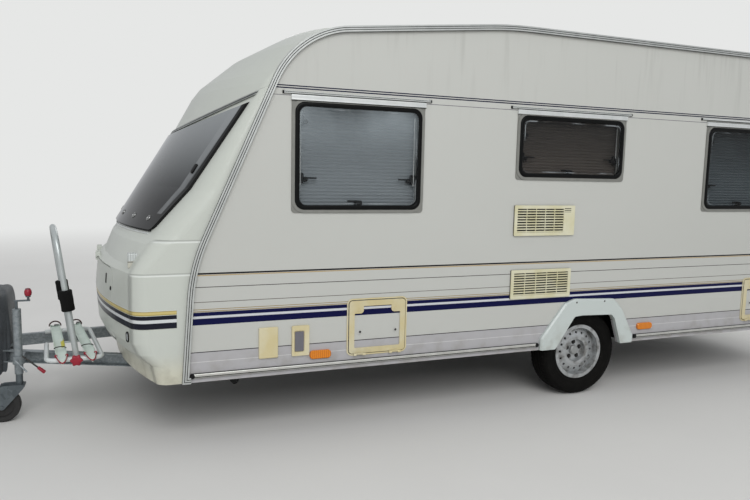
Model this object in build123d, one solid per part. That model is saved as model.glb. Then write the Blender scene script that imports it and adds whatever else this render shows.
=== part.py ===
"""Single-axle travel caravan of the 1990s, with its moulded front, hitch, jockey wheel and drawbar cycle rack.

Millimetres. +X runs forward to the hitch, +Y to the left side, +Z up. Inside this script x = 0 is the wheel
axle; every piece is moved at the end so that the origin lies on the ground, in the middle of the overall size.
"""

from build123d import *

import math
import os

# Body shell
WIDTH = 2200.0  # over the side walls
WALL = 30.0  # sandwich wall, roof and end panels
SILL_Z = 370.0  # underside of the body
FLOOR = 40.0  # floor panel
ROOF_Z = 2500.0  # top edge of the side wall behind the slope
ROOF_CROWN = 35.0  # rise of the roof between the walls
ROOF_FRONT_X = 1640.0  # joint between the roof panel and the front roof moulding
ROOF_REAR_X = -2020.0  # joint between the roof panel and the rear moulding
REAR_X = -2386.0  # rearmost point of the rear moulding
WALL_REAR_X = -2300.0  # rear edge of the side walls
JOINT_GAP = 0.5  # sealed joint between two fixed panels
SEAT_GAP = 0.3  # air left between pieces that lie on each other
DOOR_GAP = 5.0  # shut line around doors and lids
CUT = 5.0  # how far a cutting block runs past a face
HALF = WIDTH / 2
INNER = HALF - WALL
SKIN = HALF + SEAT_GAP  # back of the pieces that lie on the side walls

# Corner points of the side wall: x, z and the radius of the bend there
SIDE_CORNERS = [
    (2737.0, SILL_Z, 0.0),
    (2692.0, 1017.0, 1000.0),
    (2111.0, 2341.0, 540.0),
    (728.0, ROOF_Z - 8.0, 3000.0),
    (WALL_REAR_X, ROOF_Z, 180.0),
    (WALL_REAR_X, SILL_Z, 0.0),
]

# Plan sections of the front moulding: height, x on the centre line, x of the corner, corner radius
FRONT_SECTIONS = [
    (SILL_Z, 3070.0, 2850.0, 70.0),
    (470.0, 3085.0, 2872.0, 80.0),
    (540.0, 3150.0, 2945.0, 90.0),
    (600.0, 3178.0, 2972.0, 100.0),
    (800.0, 3190.0, 2976.0, 100.0),
    (985.0, 3172.0, 2976.0, 100.0),
    (1020.0, 3128.0, 2960.0, 100.0),
    (1140.0, 3078.0, 2885.0, 140.0),
    (1165.0, 3058.0, 2850.0, 150.0),
    (1195.0, 3046.0, 2815.0, 160.0),
    (1436.0, 2899.0, 2600.0, 140.0),
    (1836.0, 2652.0, 2375.0, 75.0),
    (2030.0, 2545.0, 2265.0, 60.0),
    (2095.0, 2496.0, 2215.0, 60.0),
    (2266.0, 2290.0, 2060.0, 55.0),
    (2460.0, 1935.0, 1770.0, 45.0),
]

# Joint of the two front mouldings: a plane that falls towards the nose
CROSS_X = 2265.0
CROSS_Z = 2010.0
CROSS_TILT = 25.6

# Cross sections of the crowned roof above it: x, height at the walls, height on the centre line
BROW_CROWN = [
    (ROOF_FRONT_X + JOINT_GAP / 2, 2392.0, 2427.0),
    (2008.0, 2340.0, 2420.0),
    (2720.0, 2293.0, 2397.0),
]
BROW_FOOT = 1700.0  # the crowned solids start below the joint's lowest point

# Windows in the side walls: name, x from, x to, z from, z to, on the left, on the right
SIDE_WINDOWS = [
    ("front", 1302.0, 2127.0, 1312.0, 1955.0, True, True),
    ("middle", -245.0, 638.0, 1525.0, 1958.0, True, False),
    ("rear", -1830.0, -1000.0, 1317.0, 1955.0, True, True),
]
WINDOW_CORNER = 75.0
WINDOW_FLANGE = 18.0  # visible width of the grey frame
WINDOW_SLEEVE = 12.0  # from the frame's outer edge to the hole in the wall
WINDOW_LIP = 22.0  # hidden lip behind the pane
WINDOW_PROUD = 8.0
PANE_PROUD = 11.0
PANE_T = 20.0
PANE_BEVEL = 3.0
BLIND_BACK = 14.0  # from the wall's inner face to the blind
BLIND_T = 8.0
BLIND_OVER = 20.0  # how far the blind reaches past the window
BLIND_RAIL_D = 44.0
BLIND_RAIL_H = 50.0

# Drip strips above windows and door: x from, x to, z, on the left, on the right
DRIPS = [
    (1267.0, 2173.0, 1985.0, True, True),
    (-283.0, 685.0, 1985.0, True, False),
    (-1875.0, -945.0, 1992.0, True, True),
    (590.0, 1258.0, 2222.0, False, True),
]
DRIP_R = 8.0

# Running gear
AXLE_Z = 312.0
TYRE_R = 312.0
TYRE_W = 185.0
RIM_R = 178.0
RIM_LIP_R = 195.0
RIM_W = 144.0
RIM_SHELL = 8.0
RIM_HOLES = 16
RIM_HOLE_R = 9.0
RIM_HOLE_RING = 132.0
HUB_HOLE_R = 34.0
WHEEL_INSET = 42.0  # from the wall's outer face to the tyre
WHEEL_Y = HALF - WHEEL_INSET - TYRE_W / 2
DRUM_R = 115.0
DRUM_IN = -68.0  # inner end of the brake drum, from the wheel's middle
DRUM_CAP = 34.0  # outer end of the hub cap
STUB_R = 18.0
TUBE_X = 165.0  # torsion tube ahead of the stub axles
TUBE_Z = 306.0
TUBE_R = 47.0
ARM_T = 24.0  # trailing arm
ARM_BIG_R = 60.0
ARM_SMALL_R = 38.0
ARM_GAP = 30.0  # from the tyre's inner face to the arm
PLATE_T = 6.0  # brake back plate
WELL_X = 376.0  # half length of a wheel box
WELL_GAP = 35.0  # from the tyre's inner face to the box
WELL_TOP = 694.0
WELL_T = 5.0
WELL_Y = WHEEL_Y - TYRE_W / 2 - WELL_GAP

# Chassis
RAIL_INSET = 510.0  # from the side wall to the rail
RAIL_Y = HALF - RAIL_INSET
RAIL_H = 118.0
RAIL_T = 4.0
RAIL_FLANGE = 50.0
RAIL_FRONT_X = 2560.0
RAIL_REAR_X = -2150.0
CROSS_H = 60.0  # cross members
DRAW_H = 75.0
DRAW_W = 45.0
DRAW_T = 5.0
DRAW_DROP = 7.0  # from the sill to the top of the drawbar at its root
DRAW_BACK = 20.0  # how far the drawbar's line runs back past the rail's end
DRAW_ROOT = (RAIL_FRONT_X - DRAW_BACK, RAIL_Y - DRAW_W / 2, SILL_Z - DRAW_DROP - DRAW_H / 2)
DRAW_TIP = (4180.0, 52.0, 388.0)
DRAW_PLATE_Z = 428.0  # top of the plate that carries the overrun housing
DRAW_PLATE_T = 8.0
DRAW_PLATE_X0 = 3960.0
DRAW_PLATE_X1 = 4190.0
DRAW_PLATE_HALF = 105.0
ROOT_PLATE_T = 8.0  # bolted joint of drawbar and rail
ROOT_PLATE_W = 120.0

# Coupling and overrun, from the middle of the towing ball
BALL_X = 4500.0
BALL_Z = 440.0
SOCKET_R = 25.3
SOCKET_WALL = 7.0
SOCKET_DEPTH = 16.0
SHAFT_R = 24.0
SHAFT_Z = 474.0
HOUSING_X0 = 3975.0
HOUSING_X1 = 4250.0
HOUSING_HALF = 46.0
HOUSING_TOP = 512.0
HOUSING_FOOT_T = 10.0
HOUSING_FOOT_HALF = 90.0
NECK_BACK = 110.0
NECK_HALF = 27.0
NECK_TOP = 60.0
GRIP_AHEAD = 40.0
GRIP_HALF = 17.0
GRIP_H = 16.0
LEVER_X = 4020.0  # handbrake pivot
LEVER_Z = 476.0
LEVER_LEAN = 8.0
LEVER_LEN = 300.0
LEVER_PIVOT_R = 22.0
LEVER_BACK = 46.0  # inner face of the lever's pivot boss
LEVER_T = 20.0

# Jockey wheel
JOCKEY_X = 3625.0
JOCKEY_REACH = 118.5  # from the drawbar member's middle out to the tube
JOCKEY_TUBE_R = 24.0
JOCKEY_TUBE_Z0 = 290.0
JOCKEY_TUBE_Z1 = 690.0
JOCKEY_INNER_R = 20.0
JOCKEY_INNER_TOP = 560.0
JOCKEY_WHEEL_R = 100.0
JOCKEY_WHEEL_W = 54.0
JOCKEY_TRAIL = 95.0
JOCKEY_PIN_R = 9.0
FORK_Z = 225.0  # top of the fork's bridge
FORK_T = 12.0
FORK_HALF = 42.0
FORK_CHEEK = 6.0
FORK_BOLT_R = 8.0
CLAMP_Z0 = 352.0
CLAMP_Z1 = 402.0
CLAMP_WALL = 9.0
CRANK_SWING = 65.0
CRANK_TOP = 812.0
CRANK_ARM_Z = 735.0

# Cycle rack across the drawbar
CHANNELS = (3225.0, 3375.0)
CHANNEL_HALF = 42.0
CHANNEL_H = 26.0
CHANNEL_T = 6.0
RACK_Y1 = 760.0
RACK_Z = 440.0  # underside of the channels
RACK_OVER = 15.0  # how far a channel runs past the far drawbar member
TIE_HALF = 30.0
TIE_T = 18.0
FRAME_R = 11.0  # bent tube under the channels
FRAME_X = (3470.0, 3150.0)
FRAME_Y = 690.0
FRAME_BEND = 60.0
FOOT_HALF_X = 30.0
FOOT_HALF_Y = 16.0
FOOT_DROP = 70.0
HOOP_X = 3298.0
HOOP_LEAN = 82.0  # how much further ahead the hoop's top is than its feet
HOOP_YS = (-80.0, 600.0)
HOOP_TOP = 1150.0
HOOP_R = 16.0
HOOP_BEND = 300.0

# Fabric cover over the hitch
COVER_X0 = 3668.0
COVER_X1 = 4590.0
COVER_T = 8.0
COVER_FOOT = 300.0
COVER_TOP = 808.0
COVER_RIDGE_X = 4130.0
COVER_NOSE_Z = 620.0
COVER_OPEN_Z = 450.0  # the rear side is open below this height

# Corner steadies, folded up under the floor: name, x of the pivot, direction towards the foot, side
STEADIES = [
    ("front_left", 1950.0, 1, 1),
    ("front_right", 1950.0, 1, -1),
    ("rear_left", -1700.0, -1, 1),
    ("rear_right", -1700.0, -1, -1),
]
STEADY_INSET = 340.0  # from the side wall
STEADY_LEN = 420.0
STEADY_Z = 335.0
STEADY_DOWN = 46.0  # angle of a lowered steady, at which its foot is level
STEADY_PIN_R = 7.0
BRACKET_HALF = 34.0
BRACKET_T = 8.0


def box(x0, x1, y0, y1, z0, z1):
    """A block between two corners."""
    middle = Pos((x0 + x1) / 2, (y0 + y1) / 2, (z0 + z1) / 2)
    return middle * Box(abs(x1 - x0), abs(y1 - y0), abs(z1 - z0))


def prism_y(face, y0, y1):
    """A face drawn in x and z, made solid from y0 to y1."""
    standing = Plane.XZ.location * face
    return Pos(0, min(y0, y1), 0) * extrude(standing, amount=abs(y1 - y0), dir=(0, 1, 0))


def prism_x(face, x0, x1):
    """A face drawn in y and z, made solid from x0 to x1."""
    standing = Plane.YZ.location * face
    return Pos(min(x0, x1), 0, 0) * extrude(standing, amount=abs(x1 - x0), dir=(1, 0, 0))


def tube_y(radius, x, z, y0, y1):
    """A round bar along Y."""
    return Pos(x, (y0 + y1) / 2, z) * Rot(90, 0, 0) * Cylinder(radius, abs(y1 - y0))


def tube_x(radius, y, z, x0, x1):
    """A round bar along X."""
    return Pos((x0 + x1) / 2, y, z) * Rot(0, 90, 0) * Cylinder(radius, abs(x1 - x0))


def tube_z(radius, x, y, z0, z1):
    """A round bar along Z."""
    return Pos(x, y, (z0 + z1) / 2) * Cylinder(radius, abs(z1 - z0))


def panel_face(x0, x1, z0, z1, radius):
    """A rectangle with round corners, drawn in two coordinates."""
    return Pos((x0 + x1) / 2, (z0 + z1) / 2) * RectangleRounded(x1 - x0, z1 - z0, radius)


def grown_face(x0, x1, z0, z1, radius, grow):
    """The same rectangle grown all round, corners included."""
    return panel_face(x0 - grow, x1 + grow, z0 - grow, z1 + grow, radius + grow)


def mirrored(shape):
    """The same shape on the other side of the centre plane."""
    return mirror(shape, about=Plane.XZ)


def biggest(shape):
    """The largest solid of a cut."""
    return max(shape.solids(), key=lambda solid: solid.volume)


def side_face(spread=0.0):
    """The side wall's outline in x and z, grown by spread."""
    points = [(x, z) for x, z, _ in SIDE_CORNERS]
    line = FilletPolyline(*points, radius=[r for _, _, r in SIDE_CORNERS[1:-1]], close=False)
    face = make_face([*line.edges(), Line(points[-1], points[0])])
    if spread:
        face = offset(face, spread, kind=Kind.INTERSECTION)
    return face


SIDE_BLADE = prism_y(side_face(), -1.0, 1.0)


def side_z(x):
    """Height of the side wall's top edge at x."""
    cut = SIDE_BLADE & box(x - 0.05, x + 0.05, -1, 1, 0, 2 * ROOF_Z)
    return cut.bounding_box().max.Z


def bow_face(back, corner, nose, half):
    """A plan section: straight sides from the back, and a bow through the nose."""
    arc = ThreePointArc((corner, -half), (nose, 0), (corner, half))
    upper = Line((corner, half), (back, half))
    rear = Line((back, half), (back, -half))
    lower = Line((back, -half), (corner, -half))
    return make_face([arc, upper, rear, lower])


def bowed_loft(sections, back, inset=0.0):
    """The bowed solid through the plan sections, moved inwards by a wall thickness."""
    faces = []
    last = len(sections) - 1
    for index, (height, nose, corner, radius) in enumerate(sections):
        before = sections[max(index - 1, 0)]
        after = sections[min(index + 1, last)]
        slope = (after[1] - before[1]) / (after[0] - before[0])
        depth = inset * math.hypot(1, slope)
        inner_radius = max(radius - inset, 12.0)
        level = height
        if inset and index == 0:
            level = height - 1
        if inset and index == last:
            level = height + 1
        face = bow_face(back, corner - depth, nose - depth, HALF - inset)
        face = fillet(face.vertices().group_by(Axis.X)[-1], inner_radius if inset else radius)
        faces.append(Pos(0, 0, level) * face)
    return loft(faces, ruled=True)


def crown_face(x, edge, middle, half, drop, base):
    """A cross section in y and z with an arched top."""
    arc = ThreePointArc((-half, edge - drop), (0, middle - drop), (half, edge - drop))
    right = Line((half, edge - drop), (half, base))
    foot = Line((half, base), (-half, base))
    left = Line((-half, base), (-half, edge - drop))
    return Pos(x, 0, 0) * (Plane.YZ.location * make_face([arc, right, foot, left]))


# Small hinges of doors and lids
HINGE_R = 5.0
HINGE_PIN = 2.5
HINGE_LUG = 18.0
HINGE_OUT = 6.0  # from the leaf's face out to the pin
HINGE_OFF = 4.0  # from the leaf's edge to the pin
HINGE_BITE = 2.0  # how deep a hinge plate is let into what it holds


def hinge_pair(plane, length, reach, leaf_depth, frame_depth):
    """A hinge: the leaf's knuckle, and the frame's two knuckles with the pin.

    The plane's z runs along the pin, the leaf lies on its -x side and the frame on its +x side,
    and -y points out of the wall.
    """
    leaf = Pos(0, 0, length / 2) * Cylinder(HINGE_R, length)
    leaf += box(-reach, 0, -HINGE_R, leaf_depth, 0, length)
    leaf -= Pos(0, 0, length / 2) * Cylinder(HINGE_PIN + SEAT_GAP, length + 2 * CUT)
    frame = Pos(0, 0, length / 2) * Cylinder(HINGE_PIN, length + 2 * HINGE_LUG)
    for low in (-HINGE_LUG, length + SEAT_GAP):
        high = low + HINGE_LUG - SEAT_GAP
        frame += Pos(0, 0, (low + high) / 2) * Cylinder(HINGE_R, high - low)
        frame += box(0, reach, -HINGE_R, frame_depth, low, high)
    return plane.location * leaf, plane.location * frame


PARTS = {}


def keep(name, *shapes):
    """Stores a node under its name."""
    solids = []
    for shape in shapes:
        solids.extend(shape.solids())
    PARTS[name] = solids


# Side walls with their windows, arches and door openings
SIDE_BAND = prism_y(side_face(), INNER, HALF)
SIDE_BAND_GROWN = prism_y(side_face(JOINT_GAP), INNER - JOINT_GAP, HALF + 200)

# Inner edge of the spat's opening, and the spat's outer edge: x and z
ARCH = [(288.0, 351.0), (246.0, 408.0), (120.0, 591.0), (55.0, 597.0), (-201.0, 588.0), (-230.0, 555.0),
        (-302.0, 348.0)]
SPAT = [(390.0, 355.0), (390.0, 450.0), (200.0, 687.0), (120.0, 714.0), (-220.0, 700.0), (-300.0, 620.0),
        (-410.0, 425.0), (-405.0, 355.0)]
SPAT_PROUD = 28.0
SPAT_CHAMFER = 10.0
SPAT_ROUND = 25.0
ARCH_BACK = 8.0  # the wall's own cut-out stays this far behind the spat's edge

# Entrance door on the right side
DOOR_X0 = 640.0
DOOR_X1 = 1220.0
DOOR_Z0 = 462.0
DOOR_Z1 = 2170.0
DOOR_CORNER = 110.0
DOOR_PROUD = 6.0
DOOR_HOLE = 24.0  # hole in the wall around the leaf
DOOR_FLANGE = 32.0
DOOR_FRAME_PROUD = 5.0
DOOR_WIN = (765.0, 1095.0, 1480.0, 1940.0)
DOOR_WIN_CORNER = 50.0
DOOR_PRESS = (710.0, 1150.0, 560.0, 1080.0)  # pressed line in the lower half
DOOR_PRESS_W = 10.0
DOOR_PRESS_D = 2.5
HANDLE = (668.0, 770.0, 1148.0, 1212.0)  # recessed handle
HANDLE_DEEP = 14.0
HANDLE_BAR = (1172.0, 1190.0)
DOOR = (DOOR_X0, DOOR_X1, DOOR_Z0, DOOR_Z1, DOOR_CORNER)

# Service doors in the left wall: name, x from, x to, z from, z to
SERVICE_DOORS = [
    ("front", 1389.0, 1781.0, 447.0, 796.0),
    ("rear", -1892.0, -1500.0, 452.0, 795.0),
]
SERVICE_CORNER = 34.0
SERVICE_RIM = 8.0  # fixed frame that shows around the leaf
SERVICE_RIM_PROUD = 5.0
SERVICE_RING = 34.0  # raised ring of the leaf
SERVICE_T = 22.0
SERVICE_PROUD = 9.0
SERVICE_SKIN = 2.0  # the panel inside the ring
LOBE_W = 58.0  # lobes for the two locks
LOBE_H = 44.0
LOBE_R = 20.0
LOCK_R = 9.0
LOCK_PROUD = 3.0


def arch_cut(y0, y1):
    """The wheel cut-out of a side wall."""
    face = make_face(Polyline(*ARCH, close=True))
    cut = prism_y(offset(face, ARCH_BACK, kind=Kind.INTERSECTION), y0, y1)
    return cut + box(ARCH[-1][0] - 18, ARCH[0][0] + 12, y0, y1, SILL_Z - 70, SILL_Z + 2)


left_wall = SIDE_BAND - arch_cut(INNER - CUT, HALF + CUT)
right_wall = mirrored(left_wall)
for name, x0, x1, z0, z1, on_left, on_right in SIDE_WINDOWS:
    hole = prism_y(grown_face(x0, x1, z0, z1, WINDOW_CORNER, -WINDOW_SLEEVE), INNER - CUT, HALF + CUT)
    if on_left:
        left_wall -= hole
    if on_right:
        right_wall -= mirrored(hole)
for name, x0, x1, z0, z1 in SERVICE_DOORS:
    left_wall -= prism_y(grown_face(x0, x1, z0, z1, SERVICE_CORNER, -SERVICE_RIM / 2), INNER - CUT, HALF + CUT)
right_wall -= prism_y(grown_face(*DOOR, DOOR_HOLE), -HALF - CUT, -INNER + CUT)
keep("side_wall_left", left_wall)
keep("side_wall_right", right_wall)

# Window frames, panes and blinds
frames = []
panes = []
blinds = []
for name, x0, x1, z0, z1, on_left, on_right in SIDE_WINDOWS:
    outline = (x0, x1, z0, z1, WINDOW_CORNER)
    pane_back = HALF + PANE_PROUD - PANE_T
    frame = prism_y(grown_face(*outline, 0), SKIN, HALF + WINDOW_PROUD)
    frame += prism_y(grown_face(*outline, -WINDOW_SLEEVE - SEAT_GAP), INNER - DOOR_GAP + 1, HALF + 1)
    frame -= prism_y(grown_face(*outline, -WINDOW_FLANGE), pane_back - 1, HALF + 2 * PANE_T)
    frame -= prism_y(grown_face(*outline, -WINDOW_FLANGE - WINDOW_LIP), INNER - WALL, HALF + 2 * PANE_T)
    pane = prism_y(grown_face(*outline, -WINDOW_FLANGE - SEAT_GAP), pane_back, HALF + PANE_PROUD)
    pane = chamfer(pane.edges().group_by(Axis.Y)[-1], PANE_BEVEL)
    left = x0 - BLIND_OVER
    right = x1 + BLIND_OVER
    top = z1 + BLIND_OVER + 5
    blind = box(left, right, INNER - BLIND_BACK - BLIND_T, INNER - BLIND_BACK, z0 - BLIND_OVER, top)
    blind += box(left, right, INNER - BLIND_RAIL_D, INNER - SEAT_GAP, top, top + BLIND_RAIL_H)
    if on_left:
        frames.append(frame)
        panes.append(pane)
        blinds.append(blind)
    if on_right:
        frames.append(mirrored(frame))
        panes.append(mirrored(pane))
        blinds.append(mirrored(blind))
keep("window_frames", *frames)
keep("side_windows", *panes)
keep("window_blinds", *blinds)

# Drip strips: half-round gutters
strips = []
for x0, x1, z, on_left, on_right in DRIPS:
    strip = prism_x(Pos(HALF + DRIP_R / 2, z) * Circle(DRIP_R), x0, x1)
    strip &= box(x0, x1, SKIN, HALF + 2 * DRIP_R, z - 2 * DRIP_R, z + 2 * DRIP_R)
    if on_left:
        strips.append(strip)
    if on_right:
        strips.append(mirrored(strip))
keep("drip_strips", *strips)

# Roof panel between the walls
HATCH_X = -350.0
HATCH_SIZE = 400.0
roof_edge = INNER - JOINT_GAP
roof_sections = []
for x in (ROOF_FRONT_X - JOINT_GAP / 2, 1200.0, 728.0, 0.0, ROOF_REAR_X):
    edge = side_z(x)
    low = edge - WALL
    outer = ThreePointArc((-roof_edge, edge), (0, edge + ROOF_CROWN), (roof_edge, edge))
    inner = ThreePointArc((-roof_edge, low), (0, low + ROOF_CROWN), (roof_edge, low))
    ends = [Line(outer @ 1, inner @ 1), Line(inner @ 0, outer @ 0)]
    roof_sections.append(Pos(x, 0, 0) * (Plane.YZ.location * make_face([outer, inner, *ends])))
hatch_half = HATCH_SIZE / 2
roof_panel = loft(roof_sections, ruled=True)
roof_panel -= box(HATCH_X - hatch_half, HATCH_X + hatch_half, -hatch_half, hatch_half, ROOF_Z - 200, ROOF_Z + 200)
keep("roof_panel", roof_panel)

# Roof hatch: a raised frame and a hinged lid
HATCH_FRAME = 35.0
HATCH_RISE = 45.0
HATCH_LIP = 12.0
HATCH_OVER = 6.0  # how far the lid reaches past the frame
HATCH_LID_H = 40.0
HATCH_LID_R = 30.0
HATCH_KNUCKLE = 130.0  # half length of the lid's knuckle
HATCH_LUG = 20.0
hatch_base = ROOF_Z + ROOF_CROWN
hatch_top = hatch_base + HATCH_RISE
out = hatch_half + HATCH_FRAME
neck = hatch_half - JOINT_GAP
lip = hatch_half - HATCH_LIP
hatch_frame = box(HATCH_X - out, HATCH_X + out, -out, out, hatch_base + SEAT_GAP, hatch_top)
hatch_frame += box(HATCH_X - neck, HATCH_X + neck, -neck, neck, ROOF_Z, hatch_top)
hatch_frame -= box(HATCH_X - lip, HATCH_X + lip, -lip, lip, ROOF_Z - 2 * WALL, hatch_top + CUT)
over = out + HATCH_OVER
hatch_lid = box(HATCH_X - over, HATCH_X + over, -over, over, hatch_top + 1, hatch_top + HATCH_LID_H)
hatch_lid = fillet(hatch_lid.edges().group_by(Axis.Z)[-1], HATCH_LID_R)
axis_x = HATCH_X - over - HINGE_OUT
axis_z = hatch_top + HINGE_R
pin_end = HATCH_KNUCKLE + HATCH_LUG
hatch_lid += tube_y(HINGE_R, axis_x, axis_z, -HATCH_KNUCKLE, HATCH_KNUCKLE)
hatch_lid += box(axis_x, HATCH_X - over + HINGE_BITE, -HATCH_KNUCKLE, HATCH_KNUCKLE, axis_z - 3, axis_z + HINGE_R)
hatch_lid -= tube_y(HINGE_PIN + SEAT_GAP, axis_x, axis_z, -pin_end - CUT, pin_end + CUT)
hatch_frame += tube_y(HINGE_PIN, axis_x, axis_z, -pin_end, pin_end)
for side in (1, -1):
    y0 = side * (HATCH_KNUCKLE + SEAT_GAP)
    y1 = side * pin_end
    hatch_frame += tube_y(HINGE_R, axis_x, axis_z, y0, y1)
    hatch_frame += box(axis_x - HINGE_R, axis_x + HINGE_R, y0, y1, hatch_top - 30, axis_z)
    hatch_frame += box(axis_x - HINGE_R, HATCH_X - out + HINGE_BITE, y0, y1, hatch_top - 30, hatch_top - 4)
keep("roof_hatch_frame", hatch_frame)
keep("roof_hatch_lid", hatch_lid)

# Front moulding: the bowed shell from the sill to the cross strip, with the locker lid and the window opening
LID_HALF = 760.0
LID_Z0 = 560.0
LID_Z1 = 975.0
LID_CORNER = 60.0
LID_FOOT_GAP = 12.0  # shut line under the lid, wider because its bowed ends swing down
LID_AXIS_X = 3178.0
LID_AXIS_Z = LID_Z1 + 10.0
LID_HINGES = (210.0, -150.0)
LID_KNUCKLE = 60.0
LID_REACH = 26.0
LID_LEAF_DEPTH = 12.0
LID_FRAME_DEPTH = 24.0
LATCH = (608.0, 632.0, 872.0, 932.0)  # slot of the lid's latch: y and z
LATCH_DEEP = 12.0
FRONT_WIN_INSET = (150.0, 40.0)  # from the body's half width, at the two heights below
FRONT_WIN_Z = (1210.0, 2000.0)
FRONT_WIN_CORNER = 25.0
FRONT_WIN_TOP = (2366.0, 1919.0, 22.5)  # the top edge lies in a plane: x, z and its fall to the nose
FRONT_WIN_LAP = 35.0  # how far the pane covers the shell
FRONT_PANE = 14.0
BOW_BACK = 1500.0  # back of the bowed solids, inside the body
PLANE_REACH = 2000.0  # how far the space above a plane reaches
BOW_OPEN = 2230.0  # the lower moulding is open behind this
BOW_FAR = 3300.0
LID_NEAR = 2800.0
lid_middle = (LID_Z0 + LID_Z1) / 2


def above_plane(x, z, tilt, lift):
    """The space above a plane through a point in x and z that falls forward, lifted along its normal."""
    space = box(-PLANE_REACH, PLANE_REACH, -HALF - 2 * CUT, HALF + 2 * CUT, lift, PLANE_REACH)
    return Pos(x, 0, z) * Rot(0, tilt, 0) * space


front_outer = bowed_loft(FRONT_SECTIONS, BOW_BACK)
front_inner = bowed_loft(FRONT_SECTIONS, BOW_BACK - 10, WALL)
front_shell = front_outer - front_inner - above_plane(CROSS_X, CROSS_Z, CROSS_TILT, 0)
front_shell -= SIDE_BAND_GROWN
front_shell -= mirrored(SIDE_BAND_GROWN)
front_shell -= box(BOW_BACK - CUT, BOW_OPEN, -HALF - CUT, HALF + CUT, 300, ROOF_Z)
lid_face = Pos(0, lid_middle) * RectangleRounded(2 * LID_HALF, LID_Z1 - LID_Z0, LID_CORNER)
gap_face = panel_face(-LID_HALF - DOOR_GAP, LID_HALF + DOOR_GAP, LID_Z0 - LID_FOOT_GAP, LID_Z1 + DOOR_GAP,
                      LID_CORNER + DOOR_GAP)
gas_locker_lid = front_shell & prism_x(lid_face, LID_NEAR, BOW_FAR)
latch_depth = front_outer - Pos(-LATCH_DEEP, 0, 0) * front_outer
gas_locker_lid -= latch_depth & box(LID_NEAR, BOW_FAR, *LATCH)


def front_window_face(shrink):
    """The front window's outline in y and z."""
    foot = HALF - FRONT_WIN_INSET[0] - shrink
    top = HALF - FRONT_WIN_INSET[1] - shrink
    low = FRONT_WIN_Z[0] + shrink
    high = FRONT_WIN_Z[1] - shrink
    face = make_face(Polyline((-foot, low), (foot, low), (top, high), (-top, high), close=True))
    return fillet(face.vertices(), FRONT_WIN_CORNER)


def beam_mid(x):
    """Distance of a drawbar member's middle from the centre plane at x."""
    share = (x - DRAW_ROOT[0]) / (DRAW_TIP[0] - DRAW_ROOT[0])
    return DRAW_ROOT[1] + (DRAW_TIP[1] - DRAW_ROOT[1]) * share


def beam(side, grow=0.0):
    """One drawbar member from the chassis rail to the tip."""
    root = Vector(DRAW_ROOT[0], DRAW_ROOT[1] * side, DRAW_ROOT[2])
    tip = Vector(DRAW_TIP[0], DRAW_TIP[1] * side, DRAW_TIP[2])
    along = tip - root
    up = Vector(0, 0, 1) - along * (along.Z / along.length**2)
    plane = Plane(origin=root, x_dir=up, z_dir=along)
    section = Rectangle(DRAW_H + 2 * grow, DRAW_W + 2 * grow)
    if not grow:
        section -= Pos(0, -side * DRAW_T) * Rectangle(DRAW_H - 2 * DRAW_T, DRAW_W)
    return extrude(plane.location * section, amount=along.length)


front_window = Pos(FRONT_PANE, 0, 0.6 * FRONT_PANE) * front_outer - Pos(1.0, 0, 0.6) * front_outer
front_window &= prism_x(front_window_face(0), BOW_OPEN, BOW_FAR)
front_window -= above_plane(*FRONT_WIN_TOP, 0)
keep("front_window", front_window)
window_hole = prism_x(front_window_face(FRONT_WIN_LAP), BOW_OPEN, BOW_FAR)
window_hole -= above_plane(*FRONT_WIN_TOP, -FRONT_WIN_LAP)
front_moulding = front_shell - prism_x(gap_face, LID_NEAR, BOW_FAR) - window_hole
front_moulding -= beam(1, DOOR_GAP)
front_moulding -= beam(-1, DOOR_GAP)
for y in LID_HINGES:
    at_lid = Plane(origin=(LID_AXIS_X, y, LID_AXIS_Z), x_dir=(0, 0, 1), z_dir=(0, -1, 0))
    on_lid, on_frame = hinge_pair(at_lid, LID_KNUCKLE, LID_REACH, LID_LEAF_DEPTH, LID_FRAME_DEPTH)
    gas_locker_lid += on_lid
    front_moulding -= box(LID_AXIS_X - 18, LID_AXIS_X + 20, y - LID_KNUCKLE - 1, y + 1, LID_Z1, LID_AXIS_Z + 12)
    front_moulding += on_frame
keep("front_moulding", front_moulding)
keep("gas_locker_lid", gas_locker_lid)

# Front roof moulding: the same bow, cut by the crowned roof
crown_outer = loft([crown_face(x, e, m, HALF + CUT, 0, BROW_FOOT) for x, e, m in BROW_CROWN], ruled=True)
first_x, first_edge, first_middle = BROW_CROWN[0]
inner_crown = [(first_x - 20, first_edge + 3, first_middle), *BROW_CROWN[1:]]
crown_inner = loft([crown_face(x, e, m, HALF + CUT, WALL, BROW_FOOT - 10) for x, e, m in inner_crown], ruled=True)
brow = (front_outer & crown_outer) - (front_inner & crown_inner)
brow -= SIDE_BAND_GROWN
brow -= mirrored(SIDE_BAND_GROWN)
brow &= above_plane(CROSS_X, CROSS_Z, CROSS_TILT, JOINT_GAP)
keep("front_roof_moulding", brow)

# Cross strip over the joint of the two mouldings
STRIP_END = 32.0  # from the body's side
STRIP_H = 14.0
STRIP_DROP = 1.0  # from the joint down to the strip
STRIP_PROUD = 9.0
strip_half = HALF - STRIP_END
strip = Pos(STRIP_PROUD, 0, 0.45 * STRIP_PROUD) * front_outer - Pos(0.5, 0, 0.3) * front_outer
strip &= box(BOW_OPEN, BOW_FAR, -strip_half, strip_half, 0, ROOF_Z)
strip &= above_plane(CROSS_X, CROSS_Z, CROSS_TILT, -STRIP_DROP - STRIP_H)
strip -= above_plane(CROSS_X, CROSS_Z, CROSS_TILT, -STRIP_DROP)
keep("cross_strip", strip)

# Rear moulding: plan bow, centre profile and roof crown cut one shell
REAR_BOW = 55.0
REAR_EDGE_R = 60.0
REAR_TOP_R = 300.0
REAR_WIN_HALF = 520.0
REAR_WIN_Z0 = 1330.0
REAR_WIN_Z1 = 1930.0
PLATE_HALF = 275.0  # recess for the number plate
PLATE_Z0 = 585.0
PLATE_Z1 = 715.0
PLATE_DEEP = 12.0


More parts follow.
